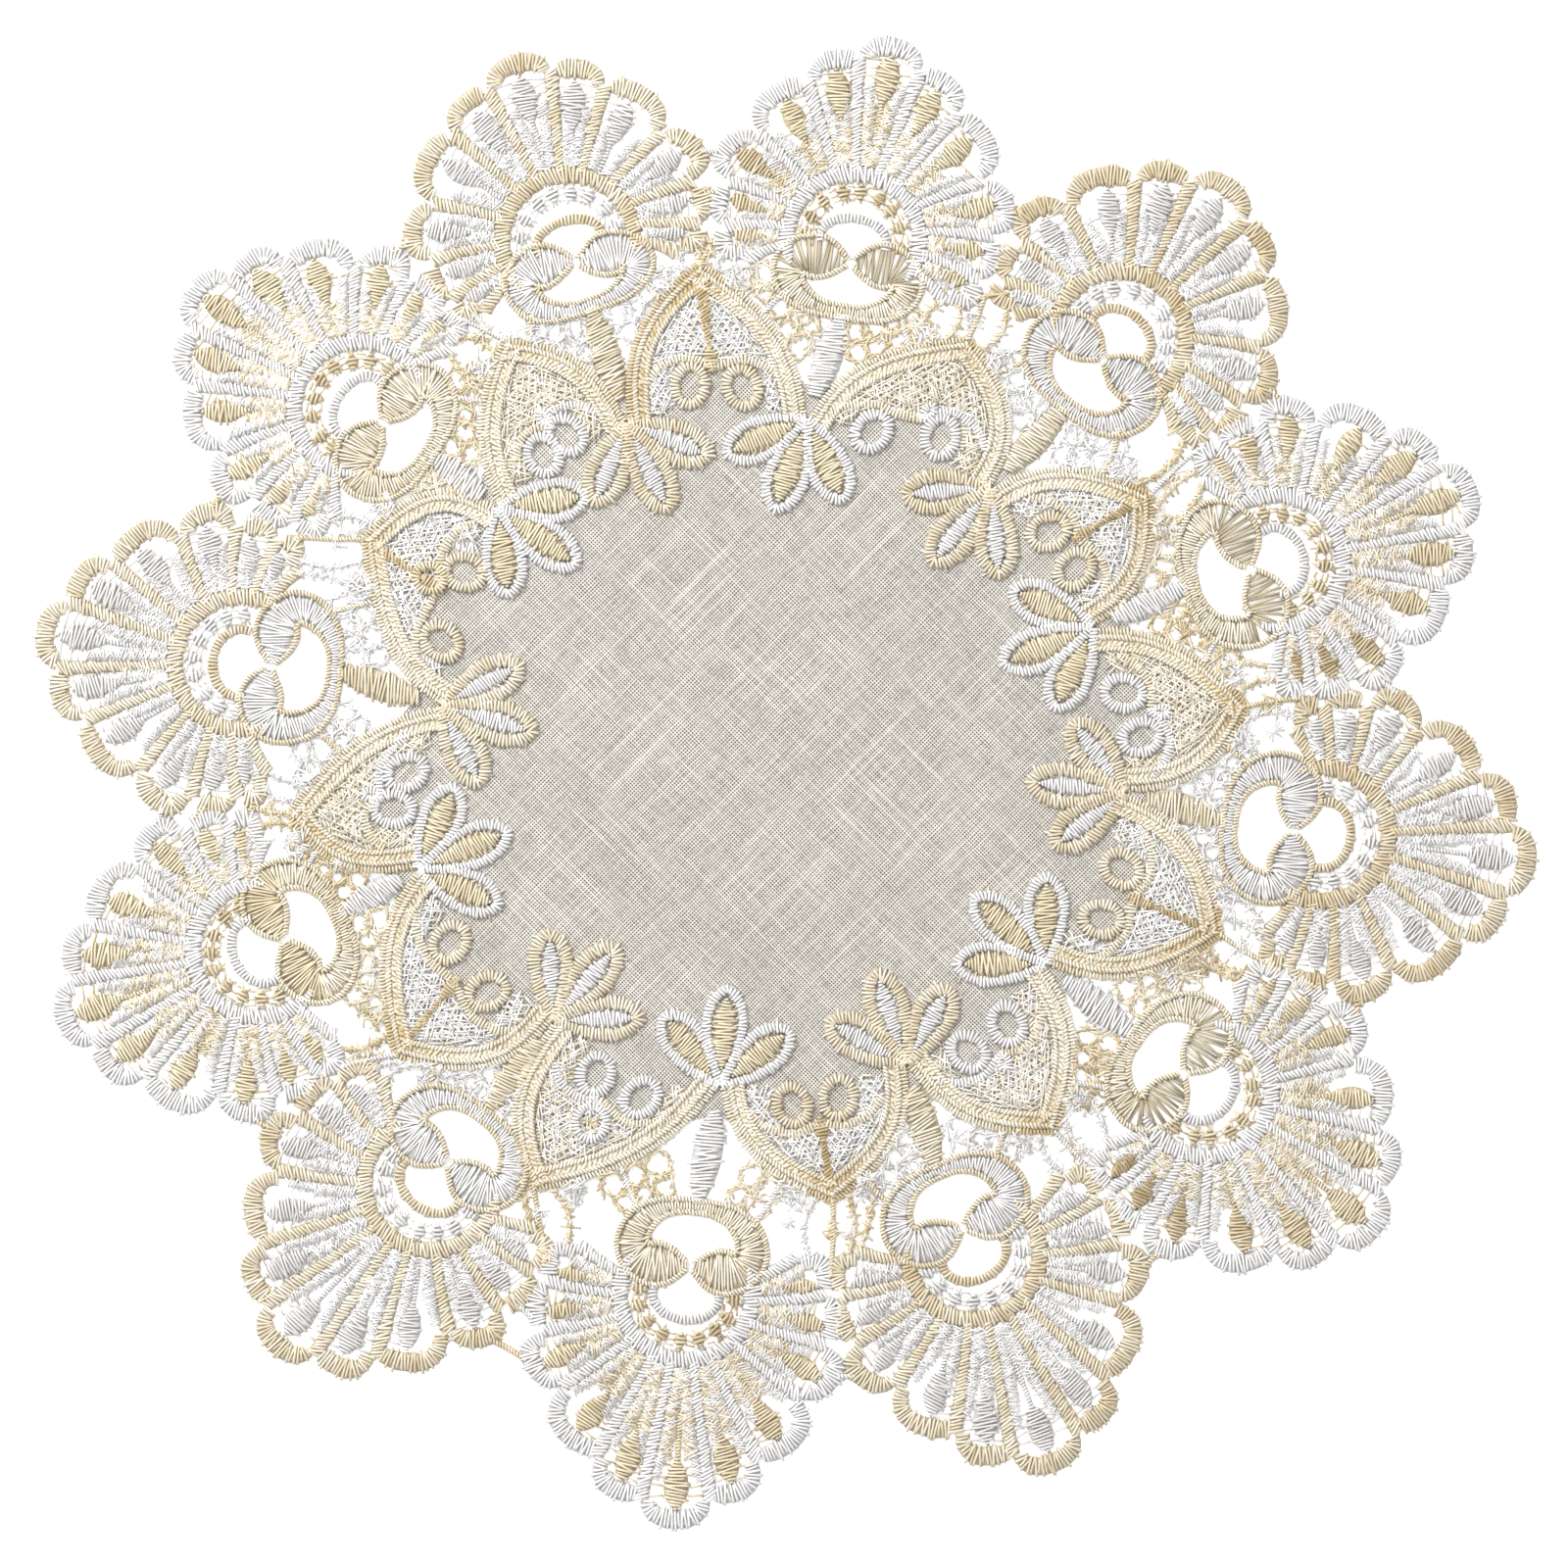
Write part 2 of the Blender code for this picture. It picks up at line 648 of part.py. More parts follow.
def linen_mesh(edge):
    """Flat sheet with the star-like cut edge."""
    ring = [polar(deg, radius) for deg, radius in edge]
    if signed_area(ring) < 0:
        ring.reverse()
    count = len(ring)
    vertices = [(x, y, 0.0) for x, y in ring] + [(x, y, LINEN_THICK) for x, y in ring]
    faces = [tuple(reversed(range(count))), tuple(range(count, 2 * count))]
    faces += [(k, (k + 1) % count, count + (k + 1) % count, count + k) for k in range(count)]
    return vertices, faces


def build():
    for item in list(bpy.data.objects):
        bpy.data.objects.remove(item)
    edge = linen_edge()
    loops = [simplified(loop) for loop in union_loops(*lace_shapes())]
    outer = max(loops, key=lambda loop: abs(signed_area(loop)))
    spans = [(min(p[k] for p in outer), max(p[k] for p in outer)) for k in (0, 1)]
    shift = (sum(spans[0]) / 2, sum(spans[1]) / 2, 0.0)
    solid("linen_ground", *linen_mesh(edge), shift, COLORS["linen"])
    solid("lace_border", *lace_mesh(loops, edge), shift, COLORS["lace"])


build()
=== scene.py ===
import math
import random

import bpy
from bpy.props import FloatProperty, FloatVectorProperty, IntProperty, PointerProperty
from bpy.types import Operator, Panel, PropertyGroup
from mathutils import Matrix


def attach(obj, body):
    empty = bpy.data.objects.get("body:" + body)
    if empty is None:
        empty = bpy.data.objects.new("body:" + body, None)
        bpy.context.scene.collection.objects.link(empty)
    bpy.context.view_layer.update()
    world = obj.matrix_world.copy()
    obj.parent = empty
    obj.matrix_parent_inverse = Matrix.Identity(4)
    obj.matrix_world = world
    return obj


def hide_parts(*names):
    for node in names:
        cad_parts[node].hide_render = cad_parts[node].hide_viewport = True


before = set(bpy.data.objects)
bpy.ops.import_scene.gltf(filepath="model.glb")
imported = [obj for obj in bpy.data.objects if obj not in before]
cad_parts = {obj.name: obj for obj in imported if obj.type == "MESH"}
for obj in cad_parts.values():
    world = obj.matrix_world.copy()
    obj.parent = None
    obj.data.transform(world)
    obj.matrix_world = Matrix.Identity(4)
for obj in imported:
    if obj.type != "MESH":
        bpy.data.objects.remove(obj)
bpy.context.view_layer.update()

bl_info = {
    "name": "Lace doily",
    "version": (1, 0, 0),
    "blender": (4, 5, 0),
    "location": "3D View > Sidebar > Doily",
    "description": "Stitches a guipure lace border of fans, arches and palmettes on a linen ground",
    "category": "Object",
}

MM = 0.001

# ---- plan, in millimetres from the middle of the ring

# Lobes of one half of a fan, from its axis: angles of the tip and the leaf, the reach, the notch after it
LOBE_COLUMNS = ("tip_deg", "leaf_deg", "reach_mm", "notch_deg", "notch_mm")
LOBE_ROWS = (
    (0.0, 0.0, 36.0, 10.3, 32.0),
    (16.8, 17.5, 33.3, 28.0, 28.8),
    (36.7, 37.5, 30.6, 53.5, 25.0),
    (68.3, 64.0, 29.0, 76.3, 24.4),
    (82.5, 83.0, 26.2, 95.5, 23.0),
    (103.5, 99.0, 24.6, 112.0, 19.5),
)
LOBES = [dict(zip(LOBE_COLUMNS, row)) for row in LOBE_ROWS]

# One row a unit, clockwise from the upper left: the fan's middle and its axis, the turn and spread of its
# lobes, the share of the table's lengths, the length added at the tip, the lean of the reach to one side, how
# open the scrolls are, the palmette and its turn, and the apex of the arch after it. Degrees, and millimetres
# from the ring's middle.
UNIT_COLUMNS = (
    "fan_deg", "fan_mm", "axis_deg", "turn", "spread", "size", "tip_mm", "skew", "open",
    "palm_deg", "palm_mm", "palm_turn", "apex_deg", "apex_mm",
)
UNIT_ROWS = (
    (112.5, 96.4, 108.4, -1.5, 1.08, 1.00, -2.1, 0.00, 0.72, 114.8, 63.4, 0.0, 99.4, 87.0),
    (82.0, 90.1, 81.2, -3.0, 1.00, 1.00, 0.1, 0.00, 0.77, 85.5, 58.5, -15.0, 65.7, 79.8),
    (50.9, 93.2, 51.6, 2.5, 1.09, 0.99, -1.7, 0.00, 0.92, 51.7, 59.0, 0.0, 35.1, 79.2),
    (21.3, 92.3, 15.8, 4.5, 1.01, 1.00, 1.2, 0.00, 0.95, 22.2, 58.4, 0.0, 5.9, 82.2),
    (-8.4, 94.9, -7.7, 0.0, 1.03, 1.02, 0.9, -0.03, 1.00, -6.3, 60.1, 0.0, -22.3, 83.2),
    (-38.3, 93.8, -37.6, -2.0, 0.97, 1.05, 1.7, 0.00, 0.93, -38.4, 58.6, -5.0, -54.0, 81.6),
    (-68.9, 92.7, -66.3, -3.0, 0.95, 1.06, 2.6, 0.00, 0.95, -68.0, 58.0, -4.0, -83.4, 78.7),
    (-100.0, 94.9, -97.4, 4.5, 0.94, 1.07, 2.6, 0.00, 0.93, -100.4, 58.4, 6.0, -119.7, 87.6),
    (-129.2, 96.1, -127.6, -6.5, 0.95, 1.05, 2.7, -0.02, 0.92, -130.5, 60.8, 0.0, -142.0, 85.6),
    (-159.4, 96.7, -155.2, -5.5, 1.02, 1.03, 0.4, 0.01, 0.92, -162.5, 66.0, 5.0, -173.2, 86.8),
    (170.4, 95.0, 174.9, -4.0, 1.04, 1.01, -0.1, 0.02, 1.00, 171.8, 59.6, -8.0, 152.7, 82.2),
    (140.5, 94.5, 146.6, -2.0, 0.98, 1.00, 0.9, 0.01, 0.87, 138.9, 65.2, 5.0, 123.7, 87.2),
)
UNITS = [dict(zip(UNIT_COLUMNS, row)) for row in UNIT_ROWS]

# One row a unit: the middles of the two rings in its arch, as a share of the half width and millimetres up;
# how dark the unit's coloured thread is and how dark the heads of its scrolls are; the scrolls' tilt; and how
# far apart the threads of its net are.
RING_COLUMNS = ("left_across", "left_up", "right_across", "right_up", "tone", "head", "tilt_mm", "net_gap")
RING_ROWS = (
    (-0.26, 6.2, 0.32, 5.6, 0.40, 0.0, -1.2, 0.62),
    (-0.36, 1.8, 0.28, 5.1, 0.30, 1.0, 0, 0.55),
    (-0.22, 3.5, 0.31, 3.4, 0.62, 0.0, 0, 0.6),
    (-0.2, 3.1, 0.34, 4.6, 0.55, 1.0, 1.0, 0.66),
    (-0.24, 5.0, 0.33, 5.5, 0.55, 0.0, 0, 0.75),
    (-0.24, 4.6, 0.32, 4.5, 0.66, 0.9, 0, 0.66),
    (-0.23, 4.4, 0.27, 4.8, 0.42, 0.0, 0, 0.66),
    (-0.35, 7.2, 0.23, 6.2, 0.46, 0.0, 0, 0.62),
    (-0.31, 5.2, 0.29, 4.4, 0.36, 0.0, 0, 0.6),
    (-0.19, 6.0, 0.24, 4.6, 0.28, 0.12, 0.6, 0.5),
    (-0.45, 3.1, 0.27, 2.5, 0.24, 0.0, -1.0, 0.62),
    (-0.17, 3.3, 0.21, 4.0, 0.30, 0.0, -0.5, 0.32),
)
RINGS = [dict(zip(RING_COLUMNS, row)) for row in RING_ROWS]
TONES = [row["tone"] for row in RINGS]

TIP_SPREAD_DEG = 32.0
SPREAD_END_DEG = 115.0
ARCH_POWER = 2.7
PETALS = ((-47.0, 16.2), (0.0, 17.8), (43.0, 16.4))  # turn from the inward direction, length
LINEN_PAST_PALM = 5.0
LINEN_INSET = 1.0
LINEN_SHORT = 0.8
LINEN_SHARES = (0.42, 0.66, 0.86)
LINEN_FINE_SHARES = [0.3 + 0.07 * k for k in range(10)]
HEM_INNER = 0.7
HEM_OUTER = 3.6

# Middle line of a scroll from the inner end to the head: along the fan's axis, across it, half width
SCROLL_LINE = [
    (-16.3, 0.0, 1.0), (-16.1, 3.4, 1.1), (-15.0, 6.6, 1.6), (-12.6, 9.2, 2.2), (-9.6, 10.4, 2.5),
    (-7.1, 10.1, 2.8), (-5.4, 8.6, 3.2), (-4.8, 6.7, 3.6), (-4.8, 5.0, 3.5), (-4.9, 3.4, 2.9),
    (-5.0, 2.0, 1.9), (-5.1, 0.7, 0.7),
]
SCROLL_HEAD_ALONG = -8.2

CORD_GAP = 0.05  # between a cord and the line that it follows
LOBE_POWER = 2.4  # how straight a lobe's sides are, and how round its tip
LOBE_ROUND = 0.55
SCALLOP_HALF = 1.8  # half a cord's width at the tip of a lobe, and how much less it is at the notches
SCALLOP_NARROWER = 0.45
RIB_HALF = 1.0  # half a rib's width at the hub ring, and how much more it is at the edge
RIB_WIDER = 0.5

# Leaf of the middle lobe, then of those beside it: half width, length
LEAVES = ((2.35, 8.8), (2.3, 8.8), (2.15, 8.2), (2.0, 7.6), (1.7, 6.6), (1.45, 6.0))
LEAF_LOWEST = 15.4
LEAF_BELOW_TIP = {"white": 4.1, "gold": 3.6}
HUB_RADIUS = 11.6
HUB_HALF = 1.65
HUB_END_DEG = 118.0
NET_FOOT = 13.0
RIB_FOOT = 12.4
RIB_GATHER = 0.94
BEAD_RADIUS = 8.35
BEAD_SPACING_DEG = 22.5
BEAD_LONG = 1.15
BEAD_HALF = 1.1
OPENING_ALONG = 0.2
OPENING_LONG = 4.75
OPENING_WIDE = 5.85
SCROLL_EDGE_HALF = 0.6
JOINING_LEAF_END = -17.1
JOINING_LEAF_START = 1.5
JOINING_LEAF_HALF = 2.85
DARK_SIDE = {1: 1, 3: -1, 5: -1}  # units whose leaves grow darker to one side
HALF_PETAL = ((0.0, 0.30), (0.15, 0.52), (0.3, 0.78), (0.6, 1.0), (0.8, 0.86), (0.93, 0.5), (1.0, 0.0))
PETAL_HALF = 4.1

# Cords of an arch: inset from its edge, half width, crown, slant, pitch, height above the lace, padded
ARCH_BAND_COLUMNS = ("inset", "half", "crown", "slant", "pitch", "raised", "padded")
ARCH_BAND_ROWS = (
    (0.75, 0.8, 0.55, 8.0, 0.6, 0.0, False),
    (1.75, 0.58, 0.75, 34.0, 0.64, 0.2, True),
    (2.75, 0.95, 0.4, 34.0, 0.95, 0.0, False),
    (2.75, 0.95, 0.5, -34.0, 0.95, 0.0, False),
    (3.7, 0.58, 0.75, -34.0, 0.64, 0.2, True),
)
ARCH_BANDS = [dict(zip(ARCH_BAND_COLUMNS, row)) for row in ARCH_BAND_ROWS]
ARCH_STEPS = 40
ARCH_RAYS = [0.21 * k for k in range(-4, 5)]
RAY_ACROSS = 0.8
WHITE_ARCHES = (5, 7)
NET_DIRECTIONS = ((36.0, 0.85), (-36.0, 0.85), (88.0, 1.4))  # turn from the arch's axis, gap
NET_REACH = 22.0
NET_BELOW_EDGE = 2.2  # how far the net keeps from the arch's edge, upwards and to the side
NET_BESIDE_EDGE = 3.4
NET_ABOVE_RING = 4.4
NET_BESIDE_RING = 0.21  # share of the arch's half width

RING_WIDE = 2.7
RING_TALL = 3.4
RING_LEAN_DEG = 14.0
RING_BAND = ((0.46, 0.8), (0.32, 3.2), (0.06, 4.9), (-0.1, 4.5))  # share across from a ring's middle, rise
EXTRA_RINGS = (  # arch, place across and up, thread, tone, size
    (7, -0.06, 14.6, "white", 0.1, 2.7),
    (10, 0.03, 8.2, "gold", 0.15, 2.3),
)
PICOTS = ((85.5, 4.2, 1.5), (79.6, -33.2, 1.5), (11.7, -82.8, 1.5), (1.2, -81.1, 1.5), (-76.8, -18.7, 1.4),
          (-48.8, -62.9, 1.4), (-73.4, 39.1, 1.4))  # x, y, length of the threads

PICOT_THREADS = 6
STAR_ARMS = 5
EYELET_THREADS = 26

# Kinds of satin: height of the crown, slant of the stitches in degrees, from one stitch to the next
SATIN_COLUMNS = ("crown", "slant", "pitch")
SATIN_ROWS = {
    "scallop": (0.85, 0.0, 0.56),
    "rib": (0.9, 26.0, 0.62),
    "leaf": (1.05, 0.0, 0.56),
    "stem": (0.6, 20.0, 0.56),
    "hub": (1.0, 12.0, 0.62),
    "opening": (0.95, 0.0, 0.62),
    "scroll": (0.95, 4.0, 0.5),
    "scroll edge": (1.15, 26.0, 0.58),
    "joining leaf": (1.05, 12.0, 0.58),
    "petal": (1.0, 10.0, 0.6),
    "petal leaf": (1.1, 6.0, 0.54),
    "ray": (0.22, 24.0, 0.62),
    "ring": (1.05, 0.0, 0.62),
    "ring band": (0.85, 0.0, 0.58),
    "knob": (1.15, 0.0, 0.56),
    "arch stem": (0.9, 30.0, 0.6),
    "small knob": (1.0, 0.0, 0.58),
    "extra ring": (1.1, 0.0, 0.6),
    "bar": (0.8, 35.0, 0.56),
}
SATIN = {kind: dict(zip(SATIN_COLUMNS, row)) for kind, row in SATIN_ROWS.items()}


def polar(deg, radius):
    """Point at an angle and a radius round the origin."""
    return (radius * math.cos(math.radians(deg)), radius * math.sin(math.radians(deg)))


def plus(point, step, share=1.0):
    """Point moved by a share of a step."""
    return (point[0] + step[0] * share, point[1] + step[1] * share)


def minus(a, b):
    return (a[0] - b[0], a[1] - b[1])


def towards(a, b, share):
    """Point a share of the way from a to b."""
    return plus(a, minus(b, a), share)


def bearing(a, b):
    """Angle of the way from a to b."""
    return math.atan2(b[1] - a[1], b[0] - a[0])


def heading(a, b):
    """Step of one millimetre from a to b."""
    length = max(math.dist(a, b), 1e-9)
    return ((b[0] - a[0]) / length, (b[1] - a[1]) / length)


def beside(point, axis, along, across):
    """Point moved along an axis and to its left."""
    return (point[0] + along * axis[0] - across * axis[1], point[1] + along * axis[1] + across * axis[0])


def steps(a, b, count):
    """Numbers evenly from a to b."""
    return [a + (b - a) * k / count for k in range(count + 1)]


def unit(i):
    return UNITS[i % len(UNITS)]


def on_fan(row, along, across):
    """Point of a unit, given along its fan's axis and across it."""
    return beside(polar(row["fan_deg"], row["fan_mm"]), polar(row["axis_deg"], 1.0), along, across)


def on_fan_polar(row, deg, radius):
    return on_fan(row, *polar(deg, radius))


def on_scroll(row, along, across):
    """Point of the scrolls, drawn together along the axis by the unit's own share."""
    return on_fan(row, along * row["open"], across)


def reach_at(row, deg, length):
    """Length from the fan's middle at an angle, as this unit has it."""
    lean = 1 + row["skew"] * math.sin(math.radians(deg))
    return length * row["size"] * lean + row["tip_mm"] * math.exp(-((deg / TIP_SPREAD_DEG) ** 2))


def turned(row, side, deg):
    """Angle of a lobe's part on one side of this unit; the spread dies away towards the last lobe."""
    extra = (row["spread"] - 1) * max(0.0, 1 - (deg / SPREAD_END_DEG) ** 4)
    return row["turn"] + side * deg * (1 + extra)


def lobes_of(row):
    """Lobes of a unit's fan from one side to the other: angles, reach and the notches beside it."""
    out = []
    for side in (1, -1):
        half, before = [], None
        for lobe in LOBES:
            notch_deg = turned(row, side, lobe["notch_deg"])
            notch = (notch_deg, reach_at(row, notch_deg, lobe["notch_mm"]))
            deg = turned(row, side, lobe["tip_deg"])
            half.append({
                "tip_deg": deg,
                "leaf_deg": turned(row, side, lobe["leaf_deg"]),
                "reach": reach_at(row, deg, lobe["reach_mm"]),
                "notches": (notch, before) if side > 0 else (before, notch),
            })
            before = notch
        out += half[::-1] if side > 0 else half[1:]
    middle = out[len(LOBES) - 1]
    middle["notches"] = (middle["notches"][0], out[len(LOBES)]["notches"][0])
    return out


def lobe_edge(row, lobe, t):
    """Point of a lobe's scalloped edge, from the notch before it at -1 to the notch after it at 1."""
    before, after = lobe["notches"]
    side = before if t < 0 else after
    angle = lobe["tip_deg"] + (side[0] - lobe["tip_deg"]) * abs(t)
    base = before[1] + (after[1] - before[1]) * (t + 1) / 2
    return on_fan_polar(row, angle, base + (lobe["reach"] - base) * (1 - abs(t) ** LOBE_POWER) ** LOBE_ROUND)


def palm(i):
    """Foot of the petals of unit i."""
    return polar(unit(i)["palm_deg"], unit(i)["palm_mm"])


def leaf_ends(i):
    """Both ends of the leaf between a palmette and the scrolls."""
    outer = on_scroll(unit(i), JOINING_LEAF_END, 0.0)
    return towards(palm(i), outer, JOINING_LEAF_START / math.dist(palm(i), outer)), outer


def arch_frame(i):
    """Middle of the arch's chord, its right end and its apex."""
    middle = towards(palm(i), palm(i + 1), 0.5)
    return middle, palm(i + 1), polar(unit(i)["apex_deg"], unit(i)["apex_mm"])


def arch_rise(i):
    middle, _, apex = arch_frame(i)
    return math.dist(middle, apex)


def on_arch(i, across, up):
    """Point of the arch after unit i: share of its half width across, millimetres up from its chord."""
    middle, end, apex = arch_frame(i)
    return plus(towards(middle, end, across), heading(middle, apex), up)


def on_leg(i, side, t):
    """Point of one leg of an arch, a share of the way up."""
    return on_arch(i, side * (1 - t**ARCH_POWER), arch_rise(i) * t)


def arch_leg(i, side, count):
    """Outer edge of one leg, from its palmette to the apex."""
    return [on_leg(i, side, (k / count) ** 0.75) for k in range(count + 1)]


def arch_place(i, point):
    """Share across and millimetres up of a point of the arch after unit i."""
    middle, end, apex = arch_frame(i)
    ax, ay = minus(end, middle)
    bx, by = minus(apex, middle)
    px, py = minus(point, middle)
    det = ax * by - ay * bx
    return (px * by - py * bx) / det, (ax * py - ay * px) / det * math.hypot(bx, by)


def ring_places(i):
    """Place across and up of the two rings in an arch."""
    return {side: (RINGS[i][side + "_across"], RINGS[i][side + "_up"]) for side in ("left", "right")}


def linen_edge(shares):
    """(angle, radius) round the linen's cut edge, a little inside the arches."""
    points = []
    for i, row in enumerate(UNITS):
        middle, end, _ = arch_frame(i)
        wide = 1 - LINEN_INSET / math.dist(middle, end)
        points.append((row["palm_deg"], row["palm_mm"] + LINEN_PAST_PALM))
        leg = [on_leg(i, -wide, t) for t in shares]
        leg.append(polar(row["apex_deg"], row["apex_mm"] - LINEN_SHORT))
        leg += [on_leg(i, wide, t) for t in shares[::-1]]
        points += [(math.degrees(math.atan2(y, x)), math.hypot(x, y)) for x, y in leg]
    return points


EDGE = linen_edge(LINEN_SHARES)


def edge_radius(deg, offset):
    """Radius of the linen's edge, moved out by offset, at an angle."""
    for (deg_a, r_a), (deg_b, r_b) in zip(EDGE, EDGE[1:] + EDGE[:1]):
        span = (deg_a - deg_b) % 360.0
        turn = (deg_a - deg) % 360.0
        if turn <= span:
            r_a, r_b = r_a + offset, r_b + offset
            full, part = math.radians(span), math.radians(turn)
            return r_a * r_b * math.sin(full) / (r_a * math.sin(part) + r_b * math.sin(full - part))
    raise ValueError("angle outside the edge")


def plan_shift():
    """Middle of the fans' outline, which is the middle of the whole doily."""
    points = [lobe_edge(row, lobe, t / 5) for row in UNITS for lobe in lobes_of(row) for t in range(-5, 6)]
    return tuple((min(p[k] for p in points) + max(p[k] for p in points)) / 2 for k in (0, 1))


SHIFT = plan_shift()


def linen_top():
    """Height of the linen's upper face."""
    return bpy.context.scene.doily_linen.thickness / MM


def surface_height(point):
    """Height under the lace: on the linen, down past its edge, then on the table."""
    deg = math.degrees(math.atan2(point[1], point[0]))
    inner, outer = edge_radius(deg, HEM_INNER), edge_radius(deg, HEM_OUTER)
    t = (math.hypot(*point) - inner) / (outer - inner)
    return linen_top() * (1 - min(1.0, max(0.0, t)))


def placed(point, height):
    """Plan point and height as a place in the scene."""
    return ((point[0] - SHIFT[0]) * MM, (point[1] - SHIFT[1]) * MM, height * MM)


# ---- strokes of stitching


def offset_each(points, distances):
    """Line moved to its left by a distance of its own at each point."""
    last = len(points) - 1
    axes = [heading(points[max(0, k - 1)], points[min(last, k + 1)]) for k in range(last + 1)]
    return [beside(p, axis, 0.0, d) for p, axis, d in zip(points, axes, distances)]


def running_on(line, moved):
    """Places where the moved line still runs the line's way, from its middle out: none inside a bend."""
    kept = {}
    for way in (-1, 1):
        last = len(line) // 2
        kept[way] = []
        for k in range(last + way, len(line) if way > 0 else -1, way):
            ahead = minus(line[min(len(line) - 1, k + 1)], line[max(0, k - 1)])
            step = minus(moved[k], moved[last])
            if (ahead[0] * step[0] + ahead[1] * step[1]) * way > 0.15 * math.hypot(*ahead):
                kept[way].append(k)
                last = k
    return kept[-1][::-1] + [len(line) // 2] + kept[1]


def smooth_line(points, count):
    """Points evenly along a soft curve through the given rows of numbers."""
    rows = [points[0]] + list(points) + [points[-1]]
    out = []
    spans = len(points) - 1
    for k in range(count + 1):
        place = min(k / count * spans, spans - 1e-6)
        n, t = int(place), place - int(place)
        out.append(tuple(
            0.5 * (2 * q + (r - p) * t + (2 * p - 5 * q + 4 * r - s) * t * t + (3 * q - p - 3 * r + s) * t**3)
            for p, q, r, s in zip(*rows[n : n + 4])
        ))
    return out


def stroke(points, half, crown, slant, tone, pitch, raised=0.0, closed=False):
    """Path of satin stitches: half its width, its crown's height, the stitches' slant, how dark it is."""
    item = {"points": list(points), "raised": raised, "closed": closed}
    values = {"half": half, "crown": crown, "slant": math.radians(slant), "tone": tone, "pitch": pitch}
    for name, value in values.items():
        item[name] = list(value) if hasattr(value, "__len__") else [value] * len(points)
    return item


def thread(a, b, crown=0.35, tone=0.3, raised=0.12, wide=0.42):
    """A single loose thread from a to b: a stroke of one point."""
    slant = math.degrees(bearing(a, b))
    return stroke([towards(a, b, 0.5)], math.dist(a, b) / 2, crown, slant, tone, wide, raised)


def thread_over(middle, step, **look):
    """A single loose thread that reaches a step to each side of a place."""
    return thread(plus(middle, step, -1.0), plus(middle, step), **look)


def new_object(name, mesh):
    item = bpy.data.objects.new(name, mesh)
    bpy.context.scene.collection.objects.link(item)
    return item


def new_mesh(name, verts, edges, faces, **table):
    """Mesh whose points carry the values of a table."""
    mesh = bpy.data.meshes.new(name)
    mesh.from_pydata(verts, edges, faces)
    for key, values in table.items():
        mesh.attributes.new(key, "FLOAT", "POINT").data.foreach_set("value", values)
    return mesh


def path_object(name, strokes):
    """Object whose edges are the strokes' paths and whose points carry their widths."""
    verts, edges = [], []
    table = {"half": [], "crown": [], "pitch": [], "slant": [], "tone": []}
    for item in strokes:
        first, count = len(verts), len(item["points"])
        verts += [placed(p, surface_height(p) + item["raised"]) for p in item["points"]]
        edges += [(first + k, first + k + 1) for k in range(count - 1)]
        if item["closed"]:
            edges.append((first + count - 1, first))
        for key, values in table.items():
            scale = 1.0 if key in ("slant", "tone") else MM
            values += [v * scale for v in item[key]]
    return new_object(name, new_mesh(name, verts, edges, [], **table))


# ---- one thread, and the trees that repeat it


class Nodes:
    """Short ways to add nodes to a tree and to link them."""

    def __init__(self, tree):
        self.tree = tree

    def feed(self, node, inputs):
        """Gives a node's inputs their values, or the sockets that feed them."""
        for socket, value in inputs:
            if isinstance(value, bpy.types.NodeSocket):
                self.tree.links.new(value, node.inputs[socket])
            else:
                node.inputs[socket].default_value = value

    def add(self, kind, *inputs, **settings):
        node = self.tree.nodes.new(kind)
        for key, value in settings.items():
            setattr(node, key, value)
        self.feed(node, inputs)
        return node.outputs

    def math(self, operation, a, b, clamp=False):
        return self.add("ShaderNodeMath", (0, a), (1, b), operation=operation, use_clamp=clamp)[0]

    def vector(self, operation, a, socket, b):
        return self.add("ShaderNodeVectorMath", (0, a), (socket, b), operation=operation)[0]

    def place(self):
        return self.add("ShaderNodeTexCoord")["Object"]

    def noise(self, vector, scale, detail=2.0, output="Fac"):
        inputs = (("Vector", vector), ("Scale", scale), ("Detail", detail))
        return self.add("ShaderNodeTexNoise", *inputs)[output]

    def attribute(self, name):
        return self.add("ShaderNodeAttribute", attribute_name=name)["Fac"]

    def mix(self, factor, a, b, blend="MIX"):
        return self.add("ShaderNodeMix", (0, factor), (6, a), (7, b), data_type="RGBA", blend_type=blend)[2]

    def surface(self, *inputs):
        self.feed(self.tree.nodes["Principled BSDF"], inputs)


def thread_shape(name, stations, side_painted_shade):
    """One thread from -1 to 1 with three faces round it: a station gives its height and its ridge's painted
    shade.
    """
    verts, faces, edge = [], [], []
    for x, arch, ridge_painted_shade in stations:
        verts += [(x, -0.5, arch), (x, 0.5, arch), (x, 0.0, arch + 0.30)]
        # edge holds painted shade for the material: the lower sides take the side value, the ridge its
        # station's value
        edge += [side_painted_shade, side_painted_shade, ridge_painted_shade]
    for k in range(len(stations) - 1):
        a, b = 3 * k, 3 * k + 3
        faces += [(a, b, b + 2, a + 2), (b + 1, a + 1, a + 2, b + 2), (b, a, a + 1, b + 1)]
    faces += [(0, 2, 1), (3 * len(stations) - 3, 3 * len(stations) - 2, 3 * len(stations) - 1)]
    mesh = new_mesh(name, verts, [], [tuple(reversed(f)) for f in faces], edge=edge)
    for face in mesh.polygons:
        face.use_smooth = len(face.vertices) == 4
    item = new_object(name, mesh)
    item.hide_render = True
    item.hide_viewport = True


TREE_INPUTS = (
    ("Geometry", "Geometry"), ("Thread", "Object"), ("Material", "Material"), ("Spacing", "Float"),
    ("Thickness", "Float"), ("Unevenness", "Float"), ("Seed", "Int"),
)


